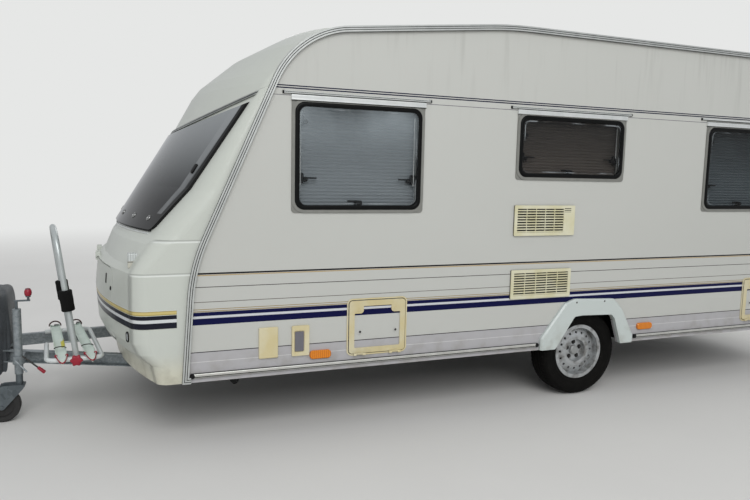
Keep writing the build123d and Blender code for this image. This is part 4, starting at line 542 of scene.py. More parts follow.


# Rails: extruded aluminium left bright, with painted shade in the grooves. The depth of the surface tells
# grooves
# apart. The cross strip over the front joint has one dark groove along its middle.
def metal(name, colour, rough, dark, metallic=0.8):
    """Bare metal: dull spots and a fine scratched grain."""
    made, shader, place = material(name, metallic=metallic)
    spots = cloud(place, 0.06, 4)
    tone = blend(spots, colour, dark)
    feed(shader, base_color=tone, roughness=sums("MULTIPLY_ADD", spots, 0.2, rough))
    bump(shader, cloud(place, 0.01, 2), 0.0003, 0.4)
    return made, shader, place, tone


def grooved(name, face, colour, dark):
    """Aluminium that is dark where it lies deeper than its outer face, by its distance from the centre
    plane."""
    made, shader, place, tone = metal(name, colour, 0.28, dark, metallic=0.6)
    outer = sums("GREATER_THAN", sums("ABSOLUTE", axes(place)[1]), face)
    feed(shader, base_color=blend(outer, "#121313", tone))
    return made


dress(grooved("extruded_aluminium_awning_rail", 1.1185, "#D0D3D0", "#A9ACAA"), "awning_rails")
dress(grooved("extruded_aluminium_sill_rail", 1.1125, "#D6D7D3", "#ACABA4"), "sill_rails")
bright_alloy = metal("bright_anodised_aluminium", "#E4E6E4", 0.25, "#C2C6C5", metallic=0.45)[0]
dress(metal("anodised_door_frame", "#C4C6C4", 0.25, "#A9ABA9")[0], "entrance_frame")
CROSS_X = 1.17
CROSS_Z = 2.01
CROSS_TILT = math.radians(25.6)
strip_metal, shader, place, tone = metal("ribbed_joint_strip", "#A6AAA7", 0.3, "#7C807D", metallic=0.5)
x, _, z = axes(place)
level_part = sums("MULTIPLY_ADD", x, math.sin(CROSS_TILT), -CROSS_X * math.sin(CROSS_TILT))
rise = sums("MULTIPLY_ADD", sums("SUBTRACT", z, CROSS_Z), math.cos(CROSS_TILT), level_part)
feed(shader, base_color=blend(between(rise, -0.0105, -0.0055, 0.0008), tone, "#191B1B"))
dress(strip_metal, "cross_strip")
RAIL_END_FORM = [(0, -0.004), (0.014, -0.004), (0.0145, 0.006), (0.0125, 0.009), (0, 0.01)]
SILL_Y = 1.109
SILL_Z = 0.4095
SPAT_Y = 1.1275
RAIL_ENDS = (1.588, -0.682, -1.532, -3.336)
rail_plugs = [turned(RAIL_END_FORM, (x, side * SILL_Y, SILL_Z), (0, side, 0), 20)
              for side in (1, -1) for x in RAIL_ENDS]
piece("sill_rail_plugs", rail_plugs, black_abs)
SCREW_FORM = [(0, -0.002), (0.0065, -0.002), (0.0065, 0.001), (0.005, 0.0025), (0, 0.003)]
SPAT_SCREWS = ((-0.985, 0.69), (-1.225, 0.688))
spat_screws = [turned(SCREW_FORM, (x, side * SPAT_Y, z), (0, side, 0), 12)
               for side in (1, -1) for x, z in SPAT_SCREWS]
piece("spat_screws", spat_screws, bolt_steel)


# Side windows: double acrylic panes, smoke tinted, hung on a bright hinge rail in grey plastic frames.
# A round black rubber seal is bonded to each pane's edge; a painted sky reflection lightens the front panes
# towards their tops.
def swept(path, profile, upward=(0, 0, 1), loop=False, widths=1):
    """Carries a profile along a path: each ring lies across it, its second axis near upward, its first
    scaled."""
    path = np.asarray(path, float)
    along = unit(np.roll(path, -1, 0) - np.roll(path, 1, 0) if loop else np.gradient(path, axis=0))
    upward = np.asarray(upward, float)
    tall = unit(upward - (along @ upward)[:, None] * along)
    aside = np.cross(along, tall)
    profile = np.asarray(profile, float)
    across = widths * profile[None, :, :1] * aside[:, None]
    points = path[:, None] + across + profile[None, :, 1:] * tall[:, None]
    if not loop:
        middles = np.broadcast_to(points.mean(axis=1, keepdims=True), points.shape)
        points = np.concatenate([middles[:1], points, middles[-1:]])
    return points, quads(len(points), len(profile), loop, True)


def ring(radius, steps=16, flat=1):
    """A circle, or an ellipse squeezed to flat times its height; a radius for each step makes lobes."""
    angle = np.linspace(0, 2 * np.pi, steps, endpoint=False)
    return np.stack([radius * np.cos(angle), radius * flat * np.sin(angle)], -1)


def rim_of(place, x0, x1, z0, z1, corner):
    """Distance outside a rectangle with round corners, negative inside, from x and z."""
    x, _, z = axes(place)
    past = add(place, "ShaderNodeCombineXYZ", {0: x, 1: 0, 2: z}).outputs[0]
    middle = ((x0 + x1) / 2, 0, (z0 + z1) / 2)
    half = ((x1 - x0) / 2 - corner, 1, (z1 - z0) / 2 - corner)
    origin = (0, 0, 0)
    for operation, other in (("SUBTRACT", middle), ("ABSOLUTE", origin),
                             ("SUBTRACT", half), ("MAXIMUM", origin)):
        past = add(place, "ShaderNodeVectorMath", {0: past, 1: other}, operation=operation).outputs[0]
    length = add(place, "ShaderNodeVectorMath", {0: past}, operation="LENGTH").outputs["Value"]
    return sums("SUBTRACT", length, corner)


WINDOWS = [  # name, ends along the wall, foot and top, heights of the two upper catches, sides of the body
    ("front", 0.207, 1.032, 1.312, 1.955, (1.837, 1.511), (1, -1)),
    ("middle", -1.34, -0.457, 1.525, 1.958, (1.822, 1.673), (1,)),
    ("rear", -2.925, -2.095, 1.317, 1.955, (1.837, 1.511), (1, -1)),
]
frame_grey = mottled("grained_grey_plastic", (0.05, 4), "#6F706B", "#84847F", (0.002, 2, 0.0003), roughness=0.5)
dress(frame_grey, "window_frames")
smoke_pane, shader, place = material("smoke_tinted_acrylic", roughness=0.04, ior=1.49, specular_ior_level=0.22)
nearest = None
for _, x0, x1, z0, z1, _, _ in WINDOWS:
    far = rim_of(place, x0 + 0.045, x1 - 0.045, z0 + 0.045, z1 - 0.045, 0.045)
    nearest = far if nearest is None else sums("MINIMUM", nearest, far)
x, _, z = axes(place)
rubbered = fade(nearest, -0.001, 0.003)
broken = fade(cloud(place, 0.16, 4), 0.45, 0.62)
clear_edge = times(between(nearest, -0.012, -0.005, 0.003), broken)
# Painted reflection: the front panes lighten towards their tops with a painted sky reflection.
painted_sky_reflection = times(fade(z, 1.45, 1.98), cloud(place, 0.35, 2))
sky_reflected_tint = blend(painted_sky_reflection, "#3F4345", "#D2DEE4")
tint = blend(sums("GREATER_THAN", x, 0), "#282929", sky_reflected_tint)
tint = blend(clear_edge, tint, "#9BA1A4")
# The pane's cover comes from the painted sky reflection and from the clear edge.
cloudy = sums("MULTIPLY_ADD", painted_sky_reflection, 0.45, sums("MULTIPLY_ADD", clear_edge, 0.3, 0.1))
feed(shader, base_color=blend(rubbered, tint, "#0A0B0B"), alpha=sums("MAXIMUM", rubbered, cloudy))
dress(smoke_pane, "side_windows")
seal_rubber = mottled("glossy_black_seal_rubber", (0.03,), "#050606", "#0E0F0F", roughness=0.35,
                      specular_ior_level=0.12)
# Painted shade: dark lines along the drip strips and hinge rails for the shade in their grooves and above them.
RAIL_SHADE_LINES = [(1.939, 1.9455, "#3A3F3C"), (1.9735, 1.979, "#3A3F3C"), (1.9845, 1.9885, "#4A504D")]
lined_alloy, shader, place, tone = metal("bright_aluminium_with_painted_shade_lines", "#E4E6E4", 0.25, "#C2C6C5", 0.45)
feed(shader, base_color=level_lines(axes(place)[2], RAIL_SHADE_LINES, tone))
dress(lined_alloy, "drip_strips")
HINGE_PROFILE = np.array([(0, -0.014), (0.011, -0.014), (0.0135, -0.01), (0.012, 0.004), (0.013, 0.01),
                          (0.0115, 0.019), (0.007, 0.022), (0, 0.022)])
CATCH_Y = 1.068
CATCH_INSET = 0.058  # upper catches, in from the window's ends
KNOB_REACH = 0.03  # from a catch's middle to its knob's
ARM_REACH = 0.06  # and to its arm's
FOOT_RISE = 0.056  # lower catch, above the window's foot
STAY_Y = 1.08
STAY_INSET = 0.056
STAY_RADIUS = 0.0032
PLATE_CORNERS = (0.022, 0.06)  # outer and inner corner of the frame's plate
PLATE_INSET = 0.036
SEAL_INSET = 0.063
SEAL_CORNER = 0.0435
SEAL_RADIUS = 0.0125
CATCH_STEPS = [(0, 0), (0, 0.01), (0.004, 0.014)]
catch_body = relief(rounded(0.04, 0.06, 0.011), CATCH_STEPS)
catch_knob = relief(ring(0.015), CATCH_STEPS)
catch_foot = relief(rounded(0.052, 0.03, 0.009), CATCH_STEPS)
catch_arm = relief(rounded(0.074, 0.01, 0.0045), [(0, 0.006), (0, 0.014), (0.002, 0.017)])
plates = []
seals = []
hinge_rails = []
catches = []
stays = []
for _, x0, x1, z0, z1, heights, sides in WINDOWS:
    for side in sides:
        out = (0, side, 0)
        outer = rounded(x1 - x0 + 0.002, z1 - z0 + 0.002, PLATE_CORNERS[0], 10)
        inner = rounded(x1 - x0 - PLATE_INSET, z1 - z0 - PLATE_INSET, PLATE_CORNERS[1], 10)
        plate_rows = [np.column_stack([outline, np.full(len(outline), height)])
                      for outline, height in ((outer, 0), (outer, 0.0035), (inner, 0.0045), (inner, 0))]
        plate = np.stack(plate_rows), quads(4, len(outer), True, True)
        plates.append(lay(plate, ((x0 + x1) / 2, side * (WALL_FACE - 0.0001), (z0 + z1) / 2), out))
        loop = rounded(x1 - x0 - SEAL_INSET, z1 - z0 - SEAL_INSET, SEAL_CORNER, 10)
        edge_path = np.stack([(x0 + x1) / 2 + loop[:, 0], side * (WALL_FACE + 0.0105) + 0 * loop[:, 0],
                              (z0 + z1) / 2 + loop[:, 1]], -1)
        seals.append(swept(edge_path, ring(SEAL_RADIUS, 14, 0.36), out, True))
        rail_path = [(x, side * (WALL_FACE + 0.0003), z1 + 0.0005) for x in (x0 - 0.004, x1 + 0.004)]
        hinge_rails.append(swept(rail_path, HINGE_PROFILE * (-side, 1)))
        grips = [(x1 - CATCH_INSET, -1, heights[0]), (x1 - CATCH_INSET, -1, heights[1]),
                 (x0 + CATCH_INSET, 1, heights[1])]
        for edge, inward, height in grips:
            catches.append(lay(catch_body, (edge, side * CATCH_Y, height), out))
            catches.append(lay(catch_knob, (edge + inward * KNOB_REACH, side * CATCH_Y, height - 0.008), out))
            if height == heights[1]:
                catches.append(lay(catch_arm, (edge + inward * ARM_REACH, side * CATCH_Y, height), out))
        catches.append(lay(catch_foot, ((x0 + x1) / 2, side * CATCH_Y, z0 + FOOT_RISE), out))
        catches.append(lay(catch_arm, ((x0 + x1) / 2 + 0.03, side * CATCH_Y, z0 + 0.068), out))
        for edge in (x0 + STAY_INSET, x1 - STAY_INSET):
            stay_path = [(edge, side * STAY_Y, z0 + 0.16), (edge, side * STAY_Y, z1 - 0.07)]
            stays.append(swept(stay_path, ring(STAY_RADIUS, 10), (0, 1, 0)))
piece("window_frame_plates", plates, frame_grey)
piece("window_seals", seals, seal_rubber, sharp=60)
piece("window_hinge_rails", hinge_rails, lined_alloy)
piece("window_catches", catches, black_abs)
piece("window_stays", stays, bright_alloy)

# Drip strips and waste pipe: black plastic ends close the strips above the windows and the door.
# A short black pipe comes out under the left sill and turns outwards.
WASTE_X = 1.342
DRIP_RADIUS = 0.0095
DRIP_HALF = 0.008  # half an end's length
WASTE_PLACES = [(0.92, 0.43), (0.92, 0.372), (0.932, 0.348), (0.956, 0.338), (1.02, 0.338)]
WASTE_RUN = [(WASTE_X, y, z) for y, z in WASTE_PLACES]
DRIPS = [(0.172, 1.078, 1.985, 1), (0.172, 1.078, 1.985, -1), (-1.378, -0.41, 1.985, 1),
         (-2.97, -2.04, 1.992, 1), (-2.97, -2.04, 1.992, -1), (-0.505, 0.163, 2.222, -1)]
drip_ends = [swept([(x - DRIP_HALF, side * (WALL_FACE + 0.0005), z),
                    (x + DRIP_HALF, side * (WALL_FACE + 0.0005), z)], ring(DRIP_RADIUS, 14))
             for x0, x1, z, side in DRIPS for x in (x0, x1)]
piece("drip_strip_ends", drip_ends, black_abs)
piece("waste_pipe", [swept(WASTE_RUN, ring(0.024, 16))], black_abs, sharp=60)


# Blinds: pleated polyester hanging inside the windows from an aluminium cassette.
# A fold is 20 mm high and 4 mm deep, so the flat sheet is longer than the window is high.
def pleated(name, light, dark, shade):
    """Pleated cloth: the lower side of each fold is shaded, and a fine weave runs along it."""
    made, shader, place = material(name, roughness=0.9)
    tone = blend(cloud(place, 0.015, 2, (12, 1, 1)), dark, light)
    fold = fade(sums("PINGPONG", axes(place)[2], PLEAT / 2), 0, PLEAT / 2)
    feed(shader, base_color=blend(fold, shade, tone))
    return made


PLEAT = 0.02
PLEAT_DEPTH = 0.004
BLIND_Y = 1.052
BLIND_COLUMNS = 12
BLIND_OVERLAP = 0.015
CASSETTE_Y = 1.048
BLIND_CLOTH = {
    "front": pleated("silver_grey_pleated_polyester", "#8F979B", "#828A8E", "#7B8387"),
    "middle": pleated("brown_grey_pleated_polyester", "#5C554F", "#504A45", "#4A4540"),
    "rear": pleated("blue_grey_pleated_polyester", "#565F63", "#4B5458", "#454D51"),
}
cassettes = []
for name, x0, x1, z0, z1, _, sides in WINDOWS:
    for side in sides:
        low, high = z0 - BLIND_OVERLAP, z1 + 0.02
        folds = int(round((high - low) / PLEAT)) * 2
        rows = np.linspace(low, high, folds + 1)
        depth = np.where(np.arange(folds + 1) % 2, PLEAT_DEPTH, 0)
        across = np.linspace(x0 - BLIND_OVERLAP, x1 + BLIND_OVERLAP, BLIND_COLUMNS)
        grid = np.stack(np.broadcast_arrays(across[None], side * (BLIND_Y - depth)[:, None], rows[:, None]), -1)
        hand = "left" if side > 0 else "right"
        blind = piece(f"blind_{name}_{hand}", [(grid, quads(folds + 1, BLIND_COLUMNS))],
                      BLIND_CLOTH[name], sharp=20, sheet=True)
        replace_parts(blind, "window_blinds")
        case_path = [(x0 - 0.018, side * CASSETTE_Y, z1 + 0.047), (x1 + 0.018, side * CASSETTE_Y, z1 + 0.047)]
        cassettes.append(swept(case_path, rounded(0.036, 0.046, 0.008)))
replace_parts(piece("blind_cassettes", cassettes, bright_alloy), "window_blinds")

# Front window: one wide bowed acrylic pane, dark at the foot and lightening upwards with a painted sky
# reflection, with lighter clear margins down its sides.
# Round chromed studs clamp its lower edge, a black catch sits near each side, and a bright trim lies below it.
front_pane, shader, place = material("bowed_smoke_acrylic", roughness=0.04, ior=1.49, specular_ior_level=0.2)
_, y, z = axes(place)
slant = sums("MULTIPLY_ADD", z, -0.1405, sums("ABSOLUTE", y))
margin = between(slant, 0.695, 0.746, 0.004)
streaky = sums("MULTIPLY_ADD", cloud(place, 0.06, 3, (1, 1, 3)), 0.5, 0.2)
dark_rim = sums("MAXIMUM", fade(z, 1.3, 1.294), fade(slant, 0.753, 0.758))
# Painted reflection: the pane lightens from its foot to its top with the sky painted on it.
tint = blend(fade(z, 1.3, 1.95), "#0E0F10", "#8C9092")
tint = blend(times(margin, streaky), tint, "#8E9193")
feed(shader, base_color=blend(dark_rim, tint, "#0B0C0C"))
dress(front_pane, "front_window")
chrome, shader, place = material("tarnished_chrome_plate", metallic=0.9)
spots = cloud(place, 0.01, 4)
feed(shader, base_color=blend(spots, "#A4A5A4", "#6A6B69"), roughness=sums("MULTIPLY_ADD", spots, 0.25, 0.12))
STUD_FORM = [(0, -0.002), (0.018, -0.002), (0.018, 0.003), (0.015, 0.0055), (0.01, 0.006), (0.009, 0.0035),
             (0.006, 0.0045), (0, 0.0055)]
stud_places = [(y, 1.268) for y in (-0.824, -0.578, -0.248, 0.248, 0.578, 0.824)]
studs = [turned(STUD_FORM, spot, facing, 24) for spot, facing in touch("front_window", AHEAD, stud_places)]
piece("front_window_studs", studs, chrome, sharp=50)
catch_form = relief(rounded(0.026, 0.06, 0.008), [(0, -0.003), (0, 0.006), (0.004, 0.01)])
front_catches = [lay(catch_form, spot, facing, (-0.6, 0, 0.8))
                 for spot, facing in touch("front_window", AHEAD, [(0.938, 1.549), (-0.938, 1.549)])]
piece("front_window_catches", front_catches, black_abs)


def along_front(z, half, proud):
    """Points along the front moulding at one height, a little proud of its surface."""
    places = [(y, z) for y in np.linspace(-half, half, 61)]
    return np.array([spot + facing * proud for spot, facing in touch("front_moulding", AHEAD, places)])


foot_rubber = piece("window_foot_rubber",
                    [swept(along_front(1.201, 0.935, 0.001), ring(0.0045, 10))], seal_rubber)
foot_trim = piece("window_foot_trim", [swept(along_front(1.188, 0.93, 0.001), ring(0.005, 10))], bright_alloy)

# Rear and door windows: the same smoke acrylic with nothing lit behind it, in black seals.
# The door's pane lies in the door leaf and turns with it.
dark_pane = mottled("smoke_acrylic_over_dark", (0.3,), "#2C2D2E", "#3B3C3D", roughness=0.06, ior=1.49)
dress(dark_pane, "rear_window", "door_window")
door_low, door_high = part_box("door_window")
loop = rounded(0.316, 0.446, 0.04, 8)
door_path = np.stack([(door_low[0] + door_high[0]) / 2 + loop[:, 0], door_low[1] + 0 * loop[:, 0],
                      (door_low[2] + door_high[2]) / 2 + loop[:, 1]], -1)
door_seal = piece("door_window_seal", [swept(door_path, ring(0.008, 12, 0.5), (0, -1, 0), True)],
                  seal_rubber, "door", sharp=60)
rear_low, rear_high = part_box("rear_window")
rear_middle = (rear_low[2] + rear_high[2]) / 2
loop = rounded(1.02, 0.58, 0.06, 10)
rear_path = [spot for spot, _ in touch("rear_window", BEHIND, [(y, rear_middle + z) for y, z in loop])]
rear_seal = piece("rear_window_seal", [swept(rear_path, ring(0.011, 12, 0.45), (-1, 0, 0), True)],
                  seal_rubber, sharp=60)


# Cream fittings: injection-moulded ABS that sunlight has yellowed, with a fine leather grain. The louvres'
# slots carry painted shade inside, the mains flap is grey, and the service doors carry the wall's own sheet
# inside their ring.
def aged_cream(place, light="#CFC7A8", dark="#CABD92"):
    """Yellowing that has gone further in some clouds than in others."""
    return blend(fade(cloud(place, 0.12), 0.35, 0.7), light, dark)


def yellowed(name, share_at, other, *creams):
    """Aged cream ABS with its grain; another colour covers it by a share made from x, y and z."""
    made, shader, place = material(name, roughness=0.42, specular_ior_level=0.3)
    share = share_at(*axes(place))
    feed(shader, base_color=blend(share, aged_cream(place, *creams), other))
    bump(shader, cloud(place, 0.0025, 2), 0.0003, 0.5)
    return made


def in_slot_shade(x, y, z):
    """Painted shade: 1 deep between the louvres, and on the short slots beside the upper grille."""
    beside = times(between(x, -0.905, -0.851), between(z, 1.314, 1.345))
    short = times(beside, fade(sums("PINGPONG", z, 0.006), 0.003, 0.004))
    return sums("MAXIMUM", fade(y, 1.1092, 1.1062), short)


def on_flap(x, y, z):
    """1 on the mains inlet's flap, which stands out farthest."""
    return sums("GREATER_THAN", y, 1.1128)


def at_joint(x, y, z):
    """Darker where the frame meets the wall."""
    return times(fade(y, 1.1025, 1.1005), 0.5)


dress(yellowed("yellowed_abs_frame", at_joint, "#6B6450"), "service_frames")
dress(yellowed("yellowed_abs_grille", in_slot_shade, "#15140F", "#D3D0B6", "#CBC6A2"), "fridge_vents")
dress(yellowed("yellowed_abs_inlet", on_flap, "#6B6A70"), "inlet_boxes")
leaf_coat, shader, place = material("wall_sheet_in_cream_ring", specular_ior_level=0.14)
on_ring = sums("GREATER_THAN", axes(place)[1], 1.104)
coat(shader, place, blend(on_ring, wall_colours(place), aged_cream(place)))
dress(leaf_coat, "service_door_front", "service_door_rear")
KEY_FORM = [(0, 0), (0.007, 0), (0.007, 0.0012), (0.0058, 0.0016), (0.002, 0.0016), (0.0018, 0.0006),
            (0, 0.0006)]
for node, body in (("service_door_front", "front_service_door"), ("service_door_rear", "rear_service_door")):
    corners = np.array([v.co for v in cad[node].data.vertices])
    discs = corners[corners[:, 1] > 1.1115]
    left_half = discs[:, 0] < discs[:, 0].mean()
    spots = [(group.max(axis=0) + group.min(axis=0)) / 2 for group in (discs[left_half], discs[~left_half])]
    keys = piece(f"{node}_locks", [turned(KEY_FORM, spot, (0, 1, 0), 18) for spot in spots], bolt_steel, body)


# Lamps: ribbed lenses in orange, red and clear, over reflectors. The front markers are clear lenses that have
# turned cream. The rear clusters run from white over red to amber, and red triangles stand between them.
def lens_plastic(name, colour, deep):
    """A lamp lens: its colour deepens between prism ribs that repeat every 12 mm."""
    made, shader, place = material(name, roughness=0.15, ior=1.49)
    ribs = add(place, "ShaderNodeTexWave", {"Vector": place, "Scale": 26}, bands_direction="X").outputs["Fac"]
    tone = blend(ribs, colour, deep)
    feed(shader, base_color=tone)
    bump(shader, ribs, 0.001, 0.5)
    return made, shader, place, tone


dress(lens_plastic("orange_lens", "#E0861A", "#C06A10")[0], "side_markers")
cream_lens, shader, place, tone = lens_plastic("creamed_clear_lens", "#C6CBC9", "#ABB0AE")
z = axes(place)[2]
tone = blend(fade(z, 1.046, 1.05), "#B9B8AC", tone)
feed(shader, base_color=blend(between(z, 1.04, 1.046), tone, "#76766F"))
dress(cream_lens, "front_markers")
red_lens, shader, place, tone = lens_plastic("red_lens", "#9E1B16", "#6E0F0C")
outward = sums("ABSOLUTE", axes(place)[1])
amber = blend(fade(outward, 0.914, 0.918), tone, "#D9831B")
feed(shader, base_color=blend(fade(outward, 0.806, 0.802), amber, "#D2D0CB"))
dress(red_lens, "rear_lamps")
triangle_red = lens_plastic("red_reflex_plastic", "#A81410", "#7D0E0B")[0]
tips = ring(0.078, 3)[:, ::-1] * (-1, 1)
share = np.linspace(0, 1, 8, endpoint=False)[None, :, None]
triangle = (tips[:, None] + (np.roll(tips, -1, 0) - tips)[:, None] * share).reshape(-1, 2)
triangle_form = relief(triangle, [(0, -0.004), (0, 0.005), (0.006, 0.008)])
found = touch("rear_moulding", BEHIND, [(-0.52, 0.5), (0.52, 0.5)])
triangles = [lay(triangle_form, spot, facing) for spot, facing in found]
piece("rear_triangles", triangles, triangle_red)

# Number plate: a blank embossed aluminium plate in its recess, reflective white with a dark raised edge.
# It is held by two screws through the moulding.
plate_white, shader, place = material("blank_reflective_plate", roughness=0.3)
sheeting = blend(cloud(place, 0.05), "#CFCFC8", "#BDBDB5")
edge = fade(sums("ABSOLUTE", axes(place)[1]), 0.252, 0.254)
feed(shader, base_color=blend(edge, sheeting, "#2A2A2C"))
PLATE_STEPS = [(0, 0), (0, 0.003), (0.002, 0.004), (0.006, 0.004), (0.008, 0.003)]
[(spot, facing)] = touch("rear_moulding", BEHIND, [(0, 0.65)])
plate = piece("number_plate", [lay(relief(rounded(0.52, 0.112, 0.01), PLATE_STEPS), spot, facing)], plate_white)
plate_screws = [turned(SCREW_FORM, spot + np.array((-0.003, y, 0)), (-1, 0, 0), 12) for y in (-0.19, 0.19)]
piece("number_plate_screws", plate_screws, bolt_steel)

# Cycle rack: two pale green-grey gutters over a white bent tube, clamped to the drawbar a little askew, and a
# brushed hoop in two black foam sleeves. Tip rims, buttons and star knob are red, the wheel straps brown
# rubber.
def bent(corners, radius, steps=9):
    """Rounds a path's inner corners: each gives way to a curve that starts radius before it and ends radius
    after."""
    corners = np.asarray(corners, float)
    share = np.linspace(0, 1, steps)[None, :, None]
    middle = corners[1:-1, None]
    before = middle + unit(corners[:-2] - corners[1:-1])[:, None] * radius
    after = middle + unit(corners[2:] - corners[1:-1])[:, None] * radius
    curves = before * (1 - share) ** 2 + 2 * middle * share * (1 - share) + after * share ** 2
    return np.concatenate([corners[:1], curves.reshape(-1, 3), corners[-1:]])


RACK_RUN = unit((0.119, -0.993, 0))
GUTTER_RUNS = unit([(0.119, -0.993, 0), (0.15, -0.989, 0)])
RACK_SIDE = np.cross(RACK_RUN, (0, 0, 1))
RACK_UP = np.array((0, 0, 1))
GUTTER_STARTS = np.array([(2.261, 0.72, 0.459), (2.103, 0.712, 0.462)])
GUTTER_LENGTH = 0.93
SPOON = 0.2  # length over which a gutter's near end narrows to its tip and dips
DIP = 0.02
TUBE_Z = 0.428
gutter_metal, shader, place, tone = metal("pale_anodised_gutter", "#DCE8DE", 0.4, "#C2D0C8", metallic=0.05)
x, y, _ = axes(place)
along_it = between(y, 0.247, 0.407)
sticker = between(sums("MULTIPLY_ADD", y, 0.1198, x), 2.3092, 2.3352)
sticker = times(sticker, along_it)
feed(shader, base_color=blend(sticker, tone, "#CFC63C"))
white_tube, shader, place = material("white_powder_coated_tube", roughness=0.35)
chips = fade(cloud(place, 0.02, 5), 0.6, 0.7)
feed(shader, base_color=blend(chips, "#CBD0CF", "#8C9190"))
brown_rubber = mottled("brown_rubber_strap", (0.01,), "#4A241A", "#2E1812", roughness=0.6)
tube_metal = metal("brushed_aluminium_tube", "#C9CECD", 0.3, "#A8AFAF", metallic=0.5)[0]
dress(gutter_metal, "rack_channels")
dress(tube_metal, "rack_hoop")
bow = np.linspace(0, np.pi, 15)
under = np.stack([0.031 * np.cos(bow), -0.018 * np.sin(bow)], -1)
gutter_profile = np.concatenate([under, under[::-1] * 0.92 + (0, 0.0018)])
run = np.concatenate([SPOON * np.linspace(0, 1, 15) ** 2, np.linspace(0.28, GUTTER_LENGTH, 9)])[:, None]
spoon_widths = np.maximum(np.sqrt(1 - (1 - np.minimum(run / SPOON, 1)) ** 2), 0.06)[:, None]
rim_run = 0.55 * SPOON * np.linspace(-1, 1, 25)[:, None] ** 2
rim_side = 0.032 * np.sign(np.linspace(-1, 1, 25))[:, None] * np.sqrt(1 - (1 - rim_run / SPOON) ** 2)
BUTTON_FORM = [(0, -0.01), (0.0085, -0.01), (0.0085, 0.002), (0.006, 0.006), (0, 0.007)]
gutters = []
buttons = []
near_bands = []
far_straps = []
for start, heading in zip(GUTTER_STARTS, GUTTER_RUNS):
    gutter_path = start + heading * run - RACK_UP * DIP * np.maximum(1 - run / SPOON, 0) ** 2
    gutters.append(swept(gutter_path, gutter_profile, widths=spoon_widths))
    rim_path = start + heading * rim_run + RACK_SIDE * rim_side - RACK_UP * DIP * (1 - rim_run / SPOON) ** 2
    buttons.append(swept(rim_path - RACK_UP * 0.004, ring(0.004, 10)))
    for spot in rim_path[[0, -1]]:
        buttons.append(turned(BUTTON_FORM, spot - RACK_UP * 0.006, -RACK_RUN, 16))
    arch = np.linspace(0, np.pi, 20)[:, None]
    low_rise = RACK_UP * (0.001 + 0.01 * np.sin(arch))
    low_arch = start + heading * 0.25 + RACK_SIDE * 0.033 * np.cos(arch) + low_rise
    high_arch = start + heading * 0.895 + RACK_SIDE * 0.036 * np.cos(arch) + RACK_UP * 0.032 * np.sin(arch)
    near_bands.append(swept(low_arch, rounded(0.004, 0.012, 0.0015, 3), RACK_RUN))
    far_straps.append(swept(high_arch, rounded(0.008, 0.014, 0.003, 3), RACK_RUN))
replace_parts(piece("rack_gutters", gutters, gutter_metal), "rack_channels")
piece("gutter_end_buttons", buttons, red_vinyl)
piece("gutter_bands", near_bands, chalky)
piece("gutter_wheel_straps", far_straps, brown_rubber)
TUBE_CORNERS = [(2.387, 0.223), (2.352, 0.63), (2.052, 0.615), (2.155, -0.176), (2.428, -0.139)]
tube_path = bent([(x, y, TUBE_Z) for x, y in TUBE_CORNERS], 0.06)
white_frame = piece("rack_tube", [swept(tube_path, ring(0.0135, 14))], white_tube)
tie_ends = [GUTTER_STARTS + GUTTER_RUNS * reach - RACK_UP * 0.0245 for reach in (0.105, 0.498)]
ties = piece("rack_ties", [swept(ends, rounded(0.034, 0.006, 0.002, 3)) for ends in tie_ends], tube_metal)
CLAMPS = [(2.299, 0.296), (2.148, 0.342), (2.367, -0.274), (2.227, -0.318)]
CLAMP_STEPS = [(0, -0.028), (0, 0.026), (0.004, 0.03)]
CLAMP_Z = 0.412
block_form = relief(rounded(0.036, 0.06, 0.004, 3), CLAMP_STEPS)
blocks = [lay(block_form, (x, y, CLAMP_Z), (0, 0, 1), (0, 1, 0)) for x, y in CLAMPS]
clamp_blocks = piece("rack_clamps", blocks, bolt_steel)
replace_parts(white_frame, "rack_channels")
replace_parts(ties, "rack_channels")
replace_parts(clamp_blocks, "rack_channels")
hoop_foot = np.array((2.195, 0.597, 0.435))
hoop_lean = np.array((0.094, 0, 0.752))
hoop_across = RACK_RUN * 0.393
hoop_corners = [hoop_foot, hoop_foot + hoop_lean, hoop_foot + hoop_lean + hoop_across, hoop_foot + hoop_across]
hoop_path = bent(hoop_corners, 0.19, 17)
hoop = piece("rack_hoop_tube",
             [swept(hoop_path, ring(0.017, 18), np.cross(hoop_lean, hoop_across))], tube_metal)
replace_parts(hoop, "rack_hoop")
foam, shader, place = material("black_closed_cell_foam", roughness=0.95, specular_ior_level=0.2)
pores = add(place, "ShaderNodeTexVoronoi", {"Vector": place, "Scale": 450}).outputs["Distance"]
feed(shader, base_color=blend(pores, "#070707", "#141414"))
bump(shader, pores, 0.0008)
SLEEVE_FORM = [(0.0165, 0), (0.033, 0), (0.037, 0.005), (0.036, 0.04), (0.0372, 0.065), (0.0362, 0.095),
               (0.037, 0.117), (0.033, 0.122), (0.0165, 0.122)]
sleeves = [turned(SLEEVE_FORM, foot + unit(hoop_lean) * 0.28, hoop_lean, 28)
           for foot in (hoop_foot, hoop_corners[3])]
piece("hoop_foam_sleeves", sleeves, foam, sharp=60)
star = ring(0.031 * (1 + 0.13 * np.cos(6 * np.linspace(0, 2 * np.pi, 60, endpoint=False))), 60)
STAR_X = 2.19
STAR_Z = 0.44
STAR_STEPS = [(0.008, 0), (0.001, 0.004), (0, 0.014), (0.004, 0.021), (0.016, 0.023)]
star_knob = lay(relief(star, STAR_STEPS), (STAR_X, 0.69, STAR_Z), (0, 1, 0))
star_screw = turned([(0, 0), (0.006, 0), (0.006, 0.07), (0, 0.07)], (STAR_X, 0.625, STAR_Z), (0, 1, 0), 14)
piece("rack_star_knob", [star_knob], red_vinyl, sharp=50)
piece("rack_star_screw", [star_screw], bolt_steel)

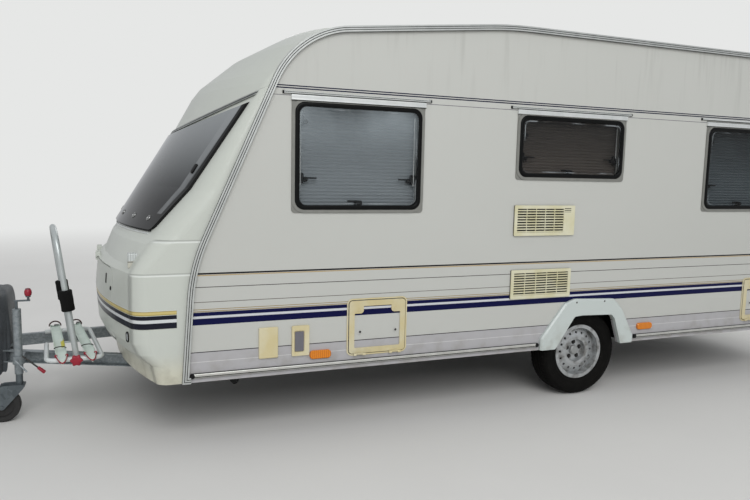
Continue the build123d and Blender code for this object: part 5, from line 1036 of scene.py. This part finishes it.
# Hitch cover: a hood of coated grey cloth, slipped over coupling, housing and handbrake. It rests on the
# lever and the coupling, sags between them, and hangs in folds that deepen towards its hem.
COVER_MIDDLE = 3.034
COVER_REACH = 0.446
COVER_HALF = 0.226
NOSE_START = 3.02  # from here forward the outline narrows,
NOSE_LENGTH = 0.46  # over this length
SHOULDER_END = 0.34  # share of the way down where the shoulder ends
FALL_START = 0.22  # and where the fall to the hem begins
SHOULDER_REACH = 0.86  # share of the way out that the shoulder covers
HEM_HEIGHT = 0.265
HEM_LIFT = 0.178  # how much higher the hem is at the rear
FOLD_DEPTH = 0.017
DENT_DEPTH = 0.007
CREASE_DEPTH = 0.004
COVER_STEPS = 280  # points round the hood
COVER_ROWS = 76  # rows from its ridge to its hem
RIDGE = [(2.66, 0.772), (2.76, 0.796), (2.86, 0.775), (2.96, 0.796), (3.06, 0.78), (3.2, 0.712), (3.32, 0.668),
         (3.4, 0.64)]
cover_cloth, shader, place = material("coated_cover_cloth", roughness=0.62, sheen_weight=0.15)
weave = add(place, "ShaderNodeTexBrick", {"Vector": place, "Scale": 160}).outputs["Fac"]
feed(shader, base_color=blend(cloud(place, 0.12, 5), "#23272A", "#464C51"))
bump(shader, sums("MULTIPLY_ADD", weave, 0.3, cloud(place, 0.03)), 0.002)
turn = np.linspace(0, 2 * np.pi, COVER_STEPS, endpoint=False)[None, :]
down = np.linspace(0, 1, COVER_ROWS)[:, None]
cosine, sine = np.cos(turn), np.sin(turn)
# The foot's outline is a rounded oblong, narrower at the nose and squarer and wider at the back.
back = np.clip(-cosine / 0.5, 0, 1)
foot_x = COVER_MIDDLE + (COVER_REACH + 0.004 * back) * np.sign(cosine) * np.abs(cosine) ** 0.5
nose = np.clip((foot_x - NOSE_START) / NOSE_LENGTH, 0, 1) ** 2
foot_y = COVER_HALF * (1 - 0.26 * nose + 0.2 * back) * np.sign(sine) * np.abs(sine) ** (0.62 - 0.34 * back)
ridge_x = COVER_MIDDLE + 0.82 * (foot_x - COVER_MIDDLE)
ridge_z = np.polyval(np.polyfit(*np.transpose(RIDGE), 5), ridge_x)
# From the ridge the cloth runs outwards over the shoulder first, then falls to the hem, raised at the rear.
shoulder = np.clip(down / SHOULDER_END, 0, 1)
fall = np.clip((down - FALL_START) / (1 - FALL_START), 0, 1)
reach = SHOULDER_REACH * np.sin(shoulder * np.pi / 2) + (1 - SHOULDER_REACH) * fall ** 0.8
rear = np.clip((0.52 - np.abs(sine)) / 0.22, 0, 1) * (cosine < 0)
hem_z = HEM_HEIGHT + HEM_LIFT * rear ** 2 * (3 - 2 * rear) + 0.008 * np.sin(13 * turn)
wide_folds = 0.55 * np.sin(13 * turn + 1.3 * np.sin(3 * turn) + 1.4 * down)
close_folds = 0.3 * np.sin(22 * turn + 2.1 - 2 * down)
folds = (wide_folds + close_folds + 0.15 * np.sin(37 * turn + 5 * down)) * FOLD_DEPTH * fall ** 1.1
# Folds push the cloth outwards towards the hem; dents and creases lie on the shoulder.
outward = unit(np.stack([cosine * 0.5, sine], -1))
flat_x = ridge_x * (1 - reach) + foot_x * reach + folds * outward[..., 0]
flat_y = foot_y * reach + folds * outward[..., 1]
dents = DENT_DEPTH * np.sin(6 * turn + 1) * np.sin(shoulder * np.pi)
creases = CREASE_DEPTH * np.sin(15 * turn + 9 * down) * shoulder
top_z = ridge_z - (0.05 + 0.05 * back) * shoulder ** 2.6 + (dents + creases)
cover_points = np.stack([flat_x, flat_y, top_z * (1 - fall ** 1.15) + hem_z * fall ** 1.15], -1)
hood = piece("hitch_hood", [(cover_points, quads(COVER_ROWS, COVER_STEPS, wrap_columns=True))],
             cover_cloth, sharp=80)
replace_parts(hood, "hitch_cover")
